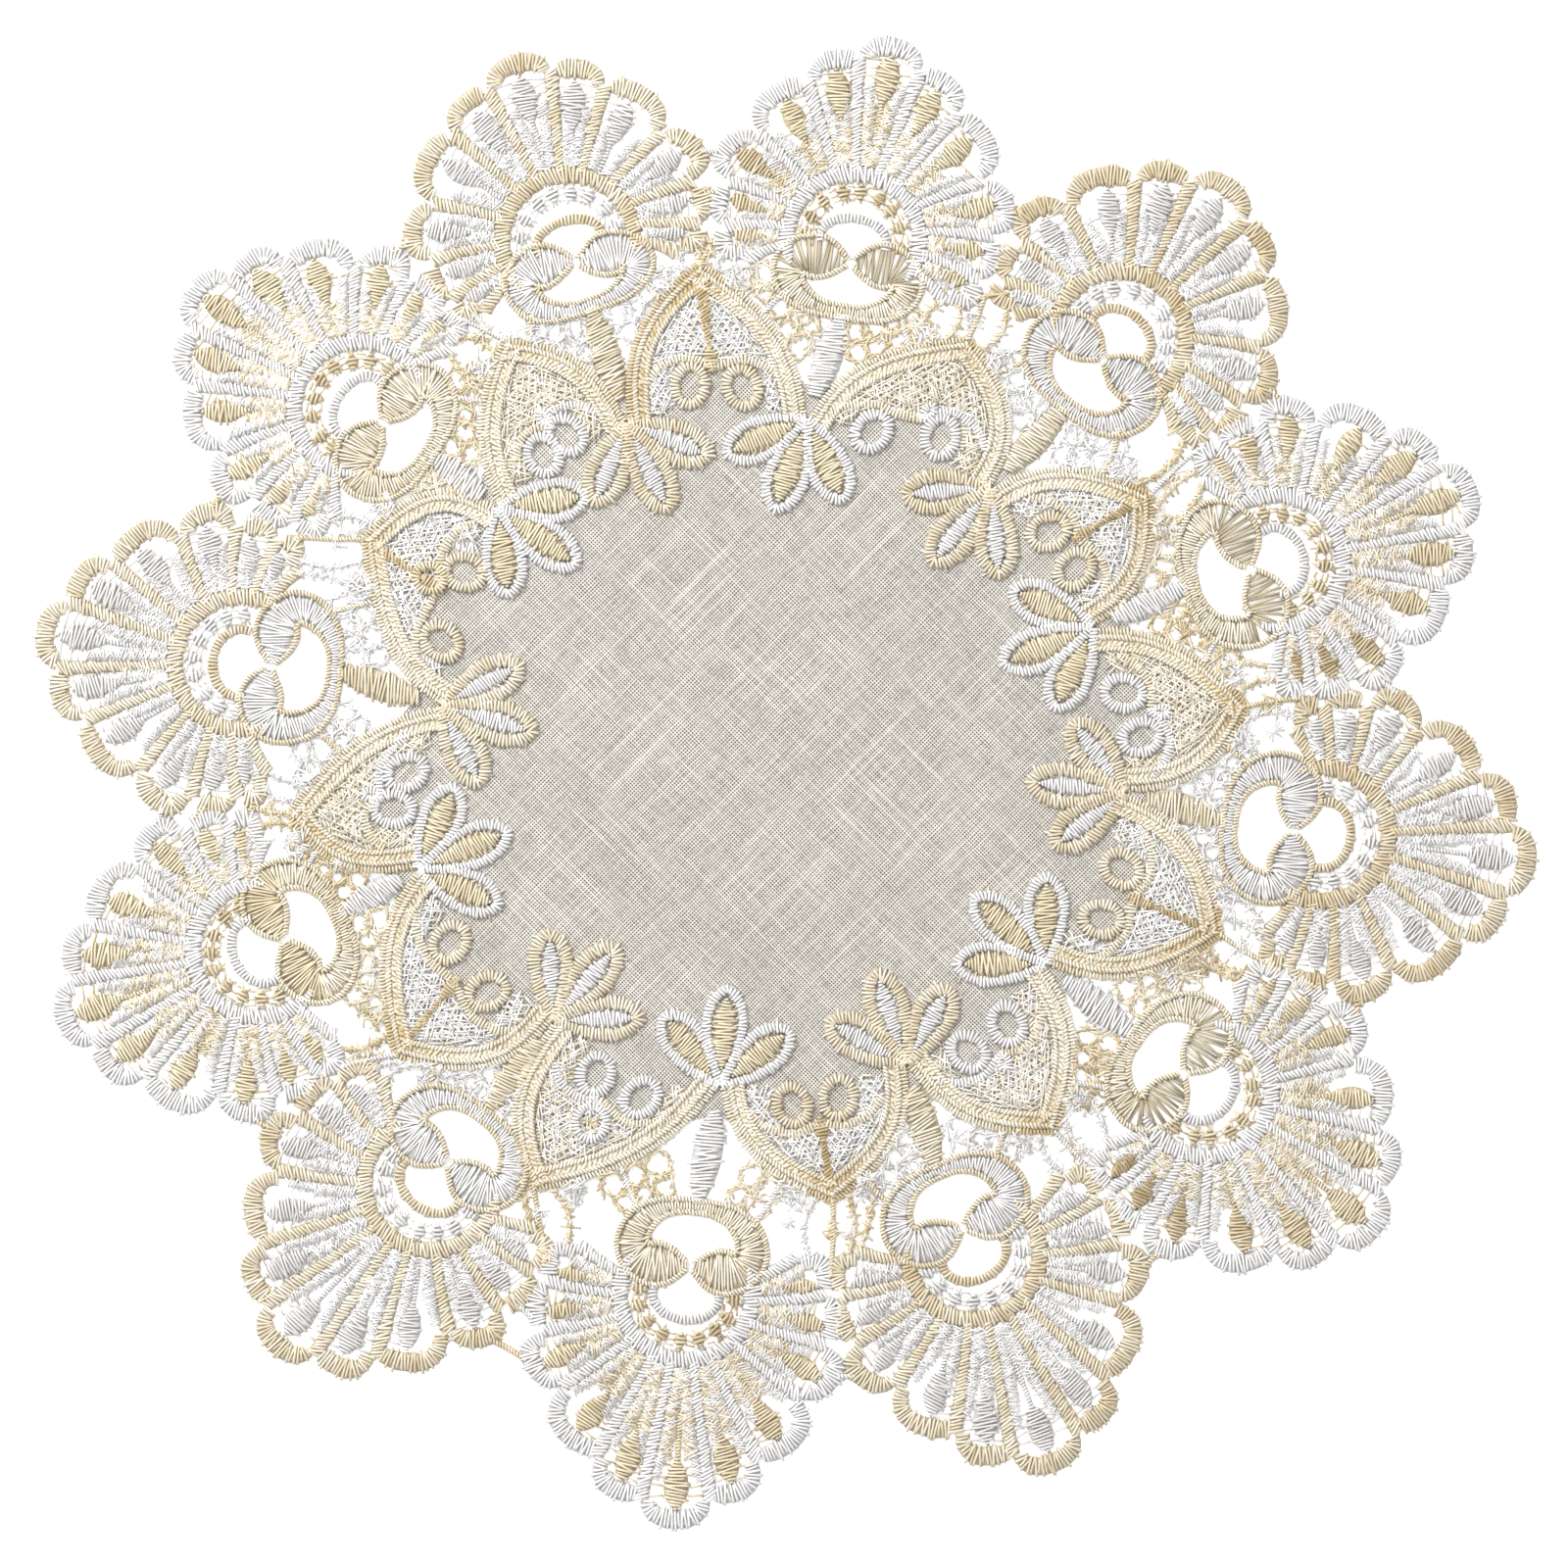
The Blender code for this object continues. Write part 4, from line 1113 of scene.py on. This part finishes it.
def in_net(i, point, sides):
    """Whether a place lies between the arch's cords and the pair of rings."""
    across, up = arch_place(i, point)
    middle, end, _ = arch_frame(i)
    room = 1 - min(1.0, max(0.0, (up + NET_BELOW_EDGE) / arch_rise(i))) ** ARCH_POWER
    room -= NET_BESIDE_EDGE / math.dist(middle, end)
    ring_across, ring_up = sides["left" if across < 0 else "right"]
    above = up > ring_up + NET_ABOVE_RING
    aside = up > 0.5 and abs(across) > abs(ring_across) + NET_BESIDE_RING
    return abs(across) < room and (above or aside)


def net_work(work, i, sides):
    """Net inside an arch: fine threads that cross in three directions."""
    rng = random.Random(70 + i)
    heart = on_arch(i, 0.0, arch_rise(i) * 0.45)
    white_share = 0.4 if i in WHITE_ARCHES else 0.06 if i % 2 else 0.8
    dense = 0.74 if i % 2 == 0 else 0.62
    tones = (-0.3, 0.25) if i % 2 else (-0.4, 0.1)
    nets = {"cream": [], "white": []}
    for turn, gap in NET_DIRECTIONS:
        gap *= dense
        way = polar(unit(i)["apex_deg"] + turn, 1.0)
        for k in range(int(-20 / gap), int(20 / gap)):
            lane = k * gap + rng.uniform(-0.35, 0.35)
            place = rng.uniform(0.0, 2.0) - NET_REACH
            while place < NET_REACH:
                length = rng.uniform(2.0, 3.4)
                ends = [beside(heart, way, d, lane + rng.uniform(-0.3, 0.3)) for d in (place, place + length)]
                place += length * 0.85
                if in_net(i, ends[0], sides) and in_net(i, ends[1], sides):
                    color = "white" if rng.random() < white_share else "cream"
                    tone = rng.uniform(*tones)
                    height = rng.uniform(0.26, 0.45)
                    nets[color].append(thread(*ends, crown=0.25, tone=tone, raised=height, wide=0.38))
    for color, threads in nets.items():
        work.lay(color, threads)


def eyelet(rng, middle, radius):
    """Loose threads round a small open hole."""
    out = []
    for k in range(EYELET_THREADS):
        turn = 360.0 * k / EYELET_THREADS + rng.uniform(-9.0, 9.0)
        place = plus(middle, polar(turn, radius * rng.uniform(1.0, 1.45)))
        step = polar(turn + 90.0 + rng.uniform(-50.0, 50.0), rng.uniform(0.7, 1.3))
        tone = rng.uniform(0.0, 0.6)
        out.append(thread_over(place, step, tone=tone, raised=rng.uniform(0.05, 0.4), wide=0.45))
    return out


def star(rng, middle, radius):
    """Twisted arms of thread from a place, with small twigs."""
    out = []
    turn = rng.uniform(0.0, 60.0)
    for k in range(STAR_ARMS):
        deg = turn + 360.0 / STAR_ARMS * k + rng.uniform(-20.0, 20.0)
        end = plus(middle, polar(deg, radius * rng.uniform(0.7, 1.3)))
        out.append(thread(middle, end, crown=0.5, tone=rng.uniform(0.3, 1.0), raised=0.3, wide=0.45))
        for share in (0.5, 0.9):
            twig = polar(deg + rng.choice((-1, 1)) * rng.uniform(40.0, 90.0), rng.uniform(0.5, 1.1))
            place = towards(middle, end, share)
            out.append(thread(place, plus(place, twig), tone=rng.uniform(0.3, 0.9), raised=0.3))
    return out


def twisted(rng, foot, head):
    """Bar of a few threads wound round each other, with twigs that stand off it."""
    out = []
    count = max(3, int(math.dist(foot, head) / 0.55))
    away = math.degrees(bearing(foot, head))
    bow = polar(away + 90.0, rng.choice((-1.0, 1.0)) * rng.uniform(0.8, 1.8))
    for k in range(count):
        t = (k + 0.5) / count
        place = plus(towards(foot, head, t), bow, math.sin(math.pi * t))
        for turn in (38.0, -38.0) if k % 3 else (38.0, -38.0, rng.choice((-80.0, 80.0))):
            size = rng.uniform(0.8, 1.7) if abs(turn) > 60 else rng.uniform(0.5, 0.85)
            step = polar(away + turn + rng.uniform(-25.0, 25.0), size)
            tone = rng.uniform(0.0, 0.8)
            out.append(thread_over(place, step, tone=tone, raised=rng.uniform(0.1, 0.4), wide=0.5))
    return out


def cloud(rng, middle, radius, count):
    """Loose threads that cross round a place."""
    out = []
    for _ in range(count):
        turn = rng.uniform(0.0, 360.0)
        place = plus(middle, polar(turn, radius * math.sqrt(rng.random())))
        step = polar(rng.uniform(0.0, 180.0), rng.uniform(0.6, 1.4))
        tone = rng.uniform(0.0, 0.5)
        out.append(thread_over(place, step, tone=tone, raised=rng.uniform(0.05, 0.5)))
    return out


def bars_of(i):
    """Bars from the arch after unit i to the scrolls, and between the side lobes of its two fans."""
    rows = (unit(i), unit(i + 1))
    bars = []
    for side, row in zip((-1, 1), rows):
        start = on_scroll(row, -13.6, side * 9.8)
        bars.append((start, min(arch_leg(i, side, 24)[:-1], key=lambda p: math.dist(p, start))))
    sides = (lobes_of(rows[0])[:-4:-1], lobes_of(rows[1])[:3])
    for pair in zip(*sides):
        ends = zip(rows, pair)
        bars.append(tuple(on_fan_polar(row, lobe["tip_deg"], lobe["reach"] - 1.0) for row, lobe in ends))
    return bars + [(on_arch(i, 0.0, arch_rise(i) * 0.97), towards(*bars[2], 0.5))]


def tie_work(work, i):
    """Sewn bars, twisted bars, clouds of thread at the arch's shoulders, and rows of eyelets."""
    rng = random.Random(300 + i)
    for k, (a, b) in enumerate(bars_of(i)):
        color = ("cream", "white", "gold")[(i + k) % 3] if k > 1 else ("cream", "white")[(i + k) % 2]
        bow = polar(math.degrees(bearing(a, b)) + 90.0, rng.uniform(-0.3, 0.3))
        line = smooth_line([a, plus(towards(a, b, 0.5), bow), b], 8)
        work.sew(color, "bar", line, 0.5 if k == 5 else 0.6, rng.uniform(0.1, 0.5))
        if k == 5:
            work.lay(("gold", "white", "cream")[i % 3], cloud(rng, towards(a, b, 0.4), 1.6, 14))
    for side, row, n in ((-1, unit(i), -1), (1, unit(i + 1), 0)):
        lobe = lobes_of(row)[n]
        notch = lobe["notches"][1 if side < 0 else 0]
        color = rng.choice(("white", "white", "cream", "gold"))
        for up, share in ((0.93, 0.6), (0.8, 1.0))[: 1 + rng.randrange(2)]:
            deg = lobe["tip_deg"] + (notch[0] - lobe["tip_deg"]) * share
            head = on_fan_polar(row, deg, lobe["reach"] + (notch[1] - lobe["reach"]) * share - 0.8)
            work.lay(color, twisted(rng, on_leg(i, side, up), head))
        shoulder = plus(on_leg(i, side, 0.86), polar(unit(i)["apex_deg"] - side * 50.0, 1.4))
        work.lay("white" if row is unit(i) or i % 2 else color, cloud(rng, shoulder, 2.3, 34))
    for side, row, u in ((-1, unit(i), i), (1, unit(i + 1), i + 1)):
        rim = [on_scroll(row, -8.3 + 9.6 * c, 13.2 * s) for c, s in (polar(6.0 * k, 1.0) for k in range(60))]
        color = "white" if u % 2 == 0 else ("cream", "gold")[i % 2]
        for p in arch_leg(i, side, 30)[4:26:4]:
            q = min(rim, key=lambda r: math.dist(p, r))
            gap = math.dist(p, q)
            if 1.8 < gap < 9.0:
                for share in (0.5,) if gap < 5.5 else (0.28, 0.74):
                    radius = min(1.7, gap * 0.3) * rng.uniform(0.8, 1.1)
                    work.lay(color, eyelet(rng, towards(p, q, share), radius))


def picot_work(work, k):
    """Small star of thread at the fans' edge."""
    x, y, length = PICOTS[k]
    rng = random.Random(900 + k)
    turn = rng.uniform(0.0, 60.0)
    for n in range(PICOT_THREADS):
        step = polar(turn + 180.0 / PICOT_THREADS * n + rng.uniform(-8, 8), length * rng.uniform(0.7, 1.3))
        work.lay("white", [thread_over((x, y), step, crown=0.5)])


PARTS = {
    "fans": (fan_work, len(UNITS)),
    "scrolls": (scroll_work, len(UNITS)),
    "palmettes": (palmette_work, len(UNITS)),
    "arches": (arch_work, len(UNITS)),
    "ties": (tie_work, len(UNITS)),
    "picots": (picot_work, len(PICOTS)),
}


def work_of(part):
    """Everything that is sewn for one part of the lace."""
    draw, count = PARTS[part]
    work = Work()
    for i in range(count):
        draw(work, i)
    return work


def sew_part(part):
    """Makes the pieces of one part: satin, open satin and loose threads in each colour."""
    work = work_of(part)
    for color, strokes in work.padded.items():
        sewn(part + "_" + color, strokes, color, "satin_stitch")
    for color, strokes in work.open.items():
        sewn(part + "_ladder_" + color, strokes, color, "satin_stitch")
    for color, threads in work.threads.items():
        sewn(part + "_threads_" + color, threads, color, "loose_thread")
    return {"FINISHED"}


# ---- sizes and colours


def number(name, note, default, unit="NONE"):
    return FloatProperty(name=name, description=note, default=default, unit=unit)


def span(name, note, default):
    return number(name, note, default, "LENGTH")


def tint(name, note, *default):
    return FloatVectorProperty(name=name, description=note, subtype="COLOR", default=default)


class DoilyThread(PropertyGroup):
    """Embroidery thread of the lace."""

    thickness: number("Thickness", "Width of a thread, as a share of its pitch", 0.88)
    spacing: number("Spacing", "Scale of the pitch of all stitches", 1.0)
    unevenness: number("Unevenness", "How much the stitches differ", 1.5)
    seed: IntProperty(name="Seed", description="Which set of uneven stitches", default=3)
    # Padding shade darkens the padding, so the gaps between stitches show painted shade
    padding_shade: number("Padding shade", "Brightness of the padding under the stitches", 0.72)
    # Edge shade: a thread's dark edges are painted shade, and a larger number keeps them thinner
    edge_shade: number("Edge shade", "How thin the dark edges of a thread are", 3.4)
    # Each dark colour gives its thread's darker tones, and at two thirds the painted shade at the threads'
    # edges
    white: tint("White", "White thread", 0.92, 0.91, 0.905)
    white_dark: tint("White, dark", "White thread where it is worn grey", 0.72, 0.69, 0.67)
    cream: tint("Cream", "Cream thread", 0.90, 0.84, 0.71)
    cream_dark: tint("Cream, dark", "Cream thread where it is darker", 0.60, 0.46, 0.24)
    gold: tint("Gold", "Gold thread", 0.88, 0.78, 0.57)
    gold_dark: tint("Gold, dark", "Gold thread where it is brown", 0.46, 0.33, 0.14)
    khaki: tint("Khaki", "Thread of the dark scroll heads", 0.66, 0.58, 0.42)
    khaki_dark: tint("Khaki, dark", "Khaki thread where it is darkest", 0.38, 0.31, 0.18)


class DoilyLinen(PropertyGroup):
    """Linen ground."""

    thickness: span("Thickness", "Thickness of the linen", 0.5 * MM)
    warp_pitch: span("Warp pitch", "From one warp thread to the next", 0.49 * MM)
    weft_pitch: span("Weft pitch", "From one weft thread to the next", 0.46 * MM)
    bias: number("Bias", "Angle of the threads on the doily", math.radians(45.0), "ROTATION")
    sway: span("Sway", "How far the threads wander", 0.25 * MM)
    color: tint("Thread colour", "Linen thread", 0.78, 0.75, 0.70)
    # Painted shade in the weave's holes: its colour and its strength
    hole_shade_color: tint("Hole colour", "Between the linen threads", 0.12, 0.11, 0.09)
    slub_light: number("Slub light", "How bright the thick threads are", 1.9)
    hole_shade_strength: number("Hole depth", "How dark the holes are", 1.6)
    blush: tint("Blush", "Warm tint in patches", 0.98, 0.93, 0.86)


class DoilyStage(PropertyGroup):
    """Camera, light and floor."""

    height: span("Camera height", "Height of the camera", 1.2)
    width: span("Seen width", "Width that the picture takes in", 0.272)
    floor_width: span("Floor width", "Width of the floor", 8.0)
    sky: number("Sky", "Light from all round", 0.78)
    lamp: number("Lamp", "Light of the lamp, in watts", 13.0)


# ---- operators

# One arched satin stitch and one straight thread: place along it, height, and the painted shade on its ridge
SATIN_STATIONS = ((-1.0, 0.0, 0.8), (-0.6, 0.66, 0.0), (0.6, 0.66, 0.0), (1.0, 0.0, 0.8))
LOOSE_STATIONS = ((-1.0, 0.4, 0.0), (1.0, 0.4, 0.0))
LINEN_BEVEL = 0.12
SHEET_RADIUS = 80.0
SOFTBOX_PLACE = (-0.55, 0.65, 0.75)
SOFTBOX_WIDTH = 0.5
SENSOR_WIDTH = 36.0
CAMERA_SIGHT = 20.0
PICTURE_MIDDLE = (0.51, -5.1)


class DOILY_OT_thread(Operator):
    """Makes the thread and the node trees that repeat it"""

    bl_idname = "doily.thread"
    bl_label = "Prepare the thread"

    def execute(self, context):
        # The last number is the painted shade along the lower sides of each thread
        thread_shape("satin_stitch_thread", SATIN_STATIONS, 1.0)
        thread_shape("loose_thread_thread", LOOSE_STATIONS, 0.78)
        stitch_tree("satin_stitch", True)
        stitch_tree("loose_thread", False)
        return {"FINISHED"}


class DOILY_OT_linen(Operator):
    """Makes the linen ground, with the pointed cut edge"""

    bl_idname = "doily.linen"
    bl_label = "Linen ground"

    def execute(self, context):
        outline = [polar(deg, radius) for deg, radius in linen_edge(LINEN_FINE_SHARES)]
        outline.reverse()
        top, count = linen_top(), len(outline)
        rings = ((0.02, 0.02), (0.0, LINEN_BEVEL), (0.0, top - LINEN_BEVEL), (0.1, top))  # inset, height
        verts, faces = [], []
        for inset, height in rings:
            share = 1 - inset / SHEET_RADIUS
            verts += [placed((x * share, y * share), height) for x, y in outline]
        for n in range(len(rings) - 1):
            for k in range(count):
                a, b = n * count + k, n * count + (k + 1) % count
                faces.append((a, b, b + count, a + count))
        faces.append(tuple(range((len(rings) - 1) * count, len(rings) * count)))
        faces.append(tuple(reversed(range(count))))
        mesh = new_mesh("linen_sheet", verts, [], faces)
        mesh.materials.append(linen_material())
        sheet = dressed(new_object("linen_sheet", mesh))
        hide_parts("linen_ground")
        return {"FINISHED"}


class DOILY_OT_fans(Operator):
    """Sews the scalloped fans: cords, leaves, hub rings and beads"""

    bl_idname = "doily.fans"
    bl_label = "Fans"

    def execute(self, context):
        return sew_part("fans")


class DOILY_OT_scrolls(Operator):
    """Sews the scrolls and the leaves that join them to the middle"""

    bl_idname = "doily.scrolls"
    bl_label = "Scrolls"

    def execute(self, context):
        return sew_part("scrolls")


class DOILY_OT_palmettes(Operator):
    """Sews the three-petal palmettes on the linen"""

    bl_idname = "doily.palmettes"
    bl_label = "Palmettes"

    def execute(self, context):
        return sew_part("palmettes")


class DOILY_OT_arches(Operator):
    """Sews the pointed arches with their paired rings and nets"""

    bl_idname = "doily.arches"
    bl_label = "Arches"

    def execute(self, context):
        return sew_part("arches")


class DOILY_OT_ties(Operator):
    """Sews the twisted bars between the parts"""

    bl_idname = "doily.ties"
    bl_label = "Ties"

    def execute(self, context):
        return sew_part("ties")


class DOILY_OT_picots(Operator):
    """Lays the small stars of thread"""

    bl_idname = "doily.picots"
    bl_label = "Picots"

    def execute(self, context):
        return sew_part("picots")


class DOILY_OT_padding(Operator):
    """Makes the padding under every stitch, which is the body of the lace"""

    bl_idname = "doily.padding"
    bl_label = "Padding"

    def execute(self, context):
        bands = {}
        for part in PARTS:
            for color, strokes in work_of(part).padded.items():
                bands.setdefault(color, []).extend(strokes)
        padding("lace_padding", bands)
        return {"FINISHED"}


class DOILY_OT_stage(Operator):
    """Makes the floor, the light and the camera straight above"""

    bl_idname = "doily.stage"
    bl_label = "Stage"

    def execute(self, context):
        look, scene = context.scene.doily_stage, context.scene
        half = look.floor_width / 2
        corners = [(-half, -half, 0), (half, -half, 0), (half, half, 0), (-half, half, 0)]
        mesh = new_mesh("floor", corners, [], [(0, 1, 2, 3)])
        material, n = shader("white_floor")
        n.surface(("Base Color", rgba((0.95, 0.95, 0.95))), ("Roughness", 0.9),
                  ("Emission Color", rgba((1.0, 1.0, 1.0))), ("Emission Strength", 0.35))
        mesh.materials.append(material)
        new_object("floor", mesh)
        world = bpy.data.worlds.new("soft_white")
        world.use_nodes = True
        Nodes(world.node_tree).feed(world.node_tree.nodes["Background"], (
            ("Color", rgba((1.0, 1.0, 1.0))), ("Strength", look.sky),
        ))
        scene.world = world
        lamp = bpy.data.lights.new("softbox", "AREA")
        lamp.shape = "DISK"
        lamp.size = SOFTBOX_WIDTH
        lamp.energy = look.lamp
        box = new_object("softbox", lamp)
        box.location = SOFTBOX_PLACE
        x, y, z = SOFTBOX_PLACE
        box.rotation_euler = (math.atan2(math.hypot(x, y), z), 0.0, math.atan2(-y, -x) - math.pi / 2)
        data = bpy.data.cameras.new("camera")
        data.sensor_width = SENSOR_WIDTH
        data.lens = SENSOR_WIDTH * look.height / look.width
        data.clip_end = CAMERA_SIGHT
        camera = new_object("camera", data)
        camera.location = (*placed(PICTURE_MIDDLE, 0.0)[:2], look.height)
        scene.camera = camera
        scene.view_settings.view_transform = "Standard"
        return {"FINISHED"}


OPERATORS = (
    DOILY_OT_thread, DOILY_OT_linen, DOILY_OT_fans, DOILY_OT_scrolls, DOILY_OT_palmettes, DOILY_OT_arches,
    DOILY_OT_ties, DOILY_OT_picots, DOILY_OT_padding, DOILY_OT_stage,
)


class DOILY_PT_panel(Panel):
    """Buttons that make the doily"""

    bl_idname = "DOILY_PT_panel"
    bl_label = "Lace doily"
    bl_space_type = "VIEW_3D"
    bl_region_type = "UI"
    bl_category = "Doily"

    def draw(self, context):
        for operator in OPERATORS:
            self.layout.operator(operator.bl_idname)
        for group in (context.scene.doily_thread, context.scene.doily_linen, context.scene.doily_stage):
            for name in group.__annotations__:
                self.layout.prop(group, name)


GROUPS = {"doily_thread": DoilyThread, "doily_linen": DoilyLinen, "doily_stage": DoilyStage}
CLASSES = (*GROUPS.values(), *OPERATORS, DOILY_PT_panel)


def register():
    for item in CLASSES:
        bpy.utils.register_class(item)
    for name, group in GROUPS.items():
        setattr(bpy.types.Scene, name, PointerProperty(type=group))


def unregister():
    for name in GROUPS:
        delattr(bpy.types.Scene, name)
    for item in reversed(CLASSES):
        bpy.utils.unregister_class(item)


def main():
    """Makes the doily with its operators."""
    register()
    for operator in OPERATORS:
        group, name = operator.bl_idname.split(".")
        if getattr(getattr(bpy.ops, group), name)() != {"FINISHED"}:
            raise RuntimeError(operator.bl_label + " did not finish")
    for name in ("satin_stitch_thread", "loose_thread_thread"):
        bpy.data.objects.remove(bpy.data.objects[name])
    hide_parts("lace_border")


if __name__ == "__main__":
    main()
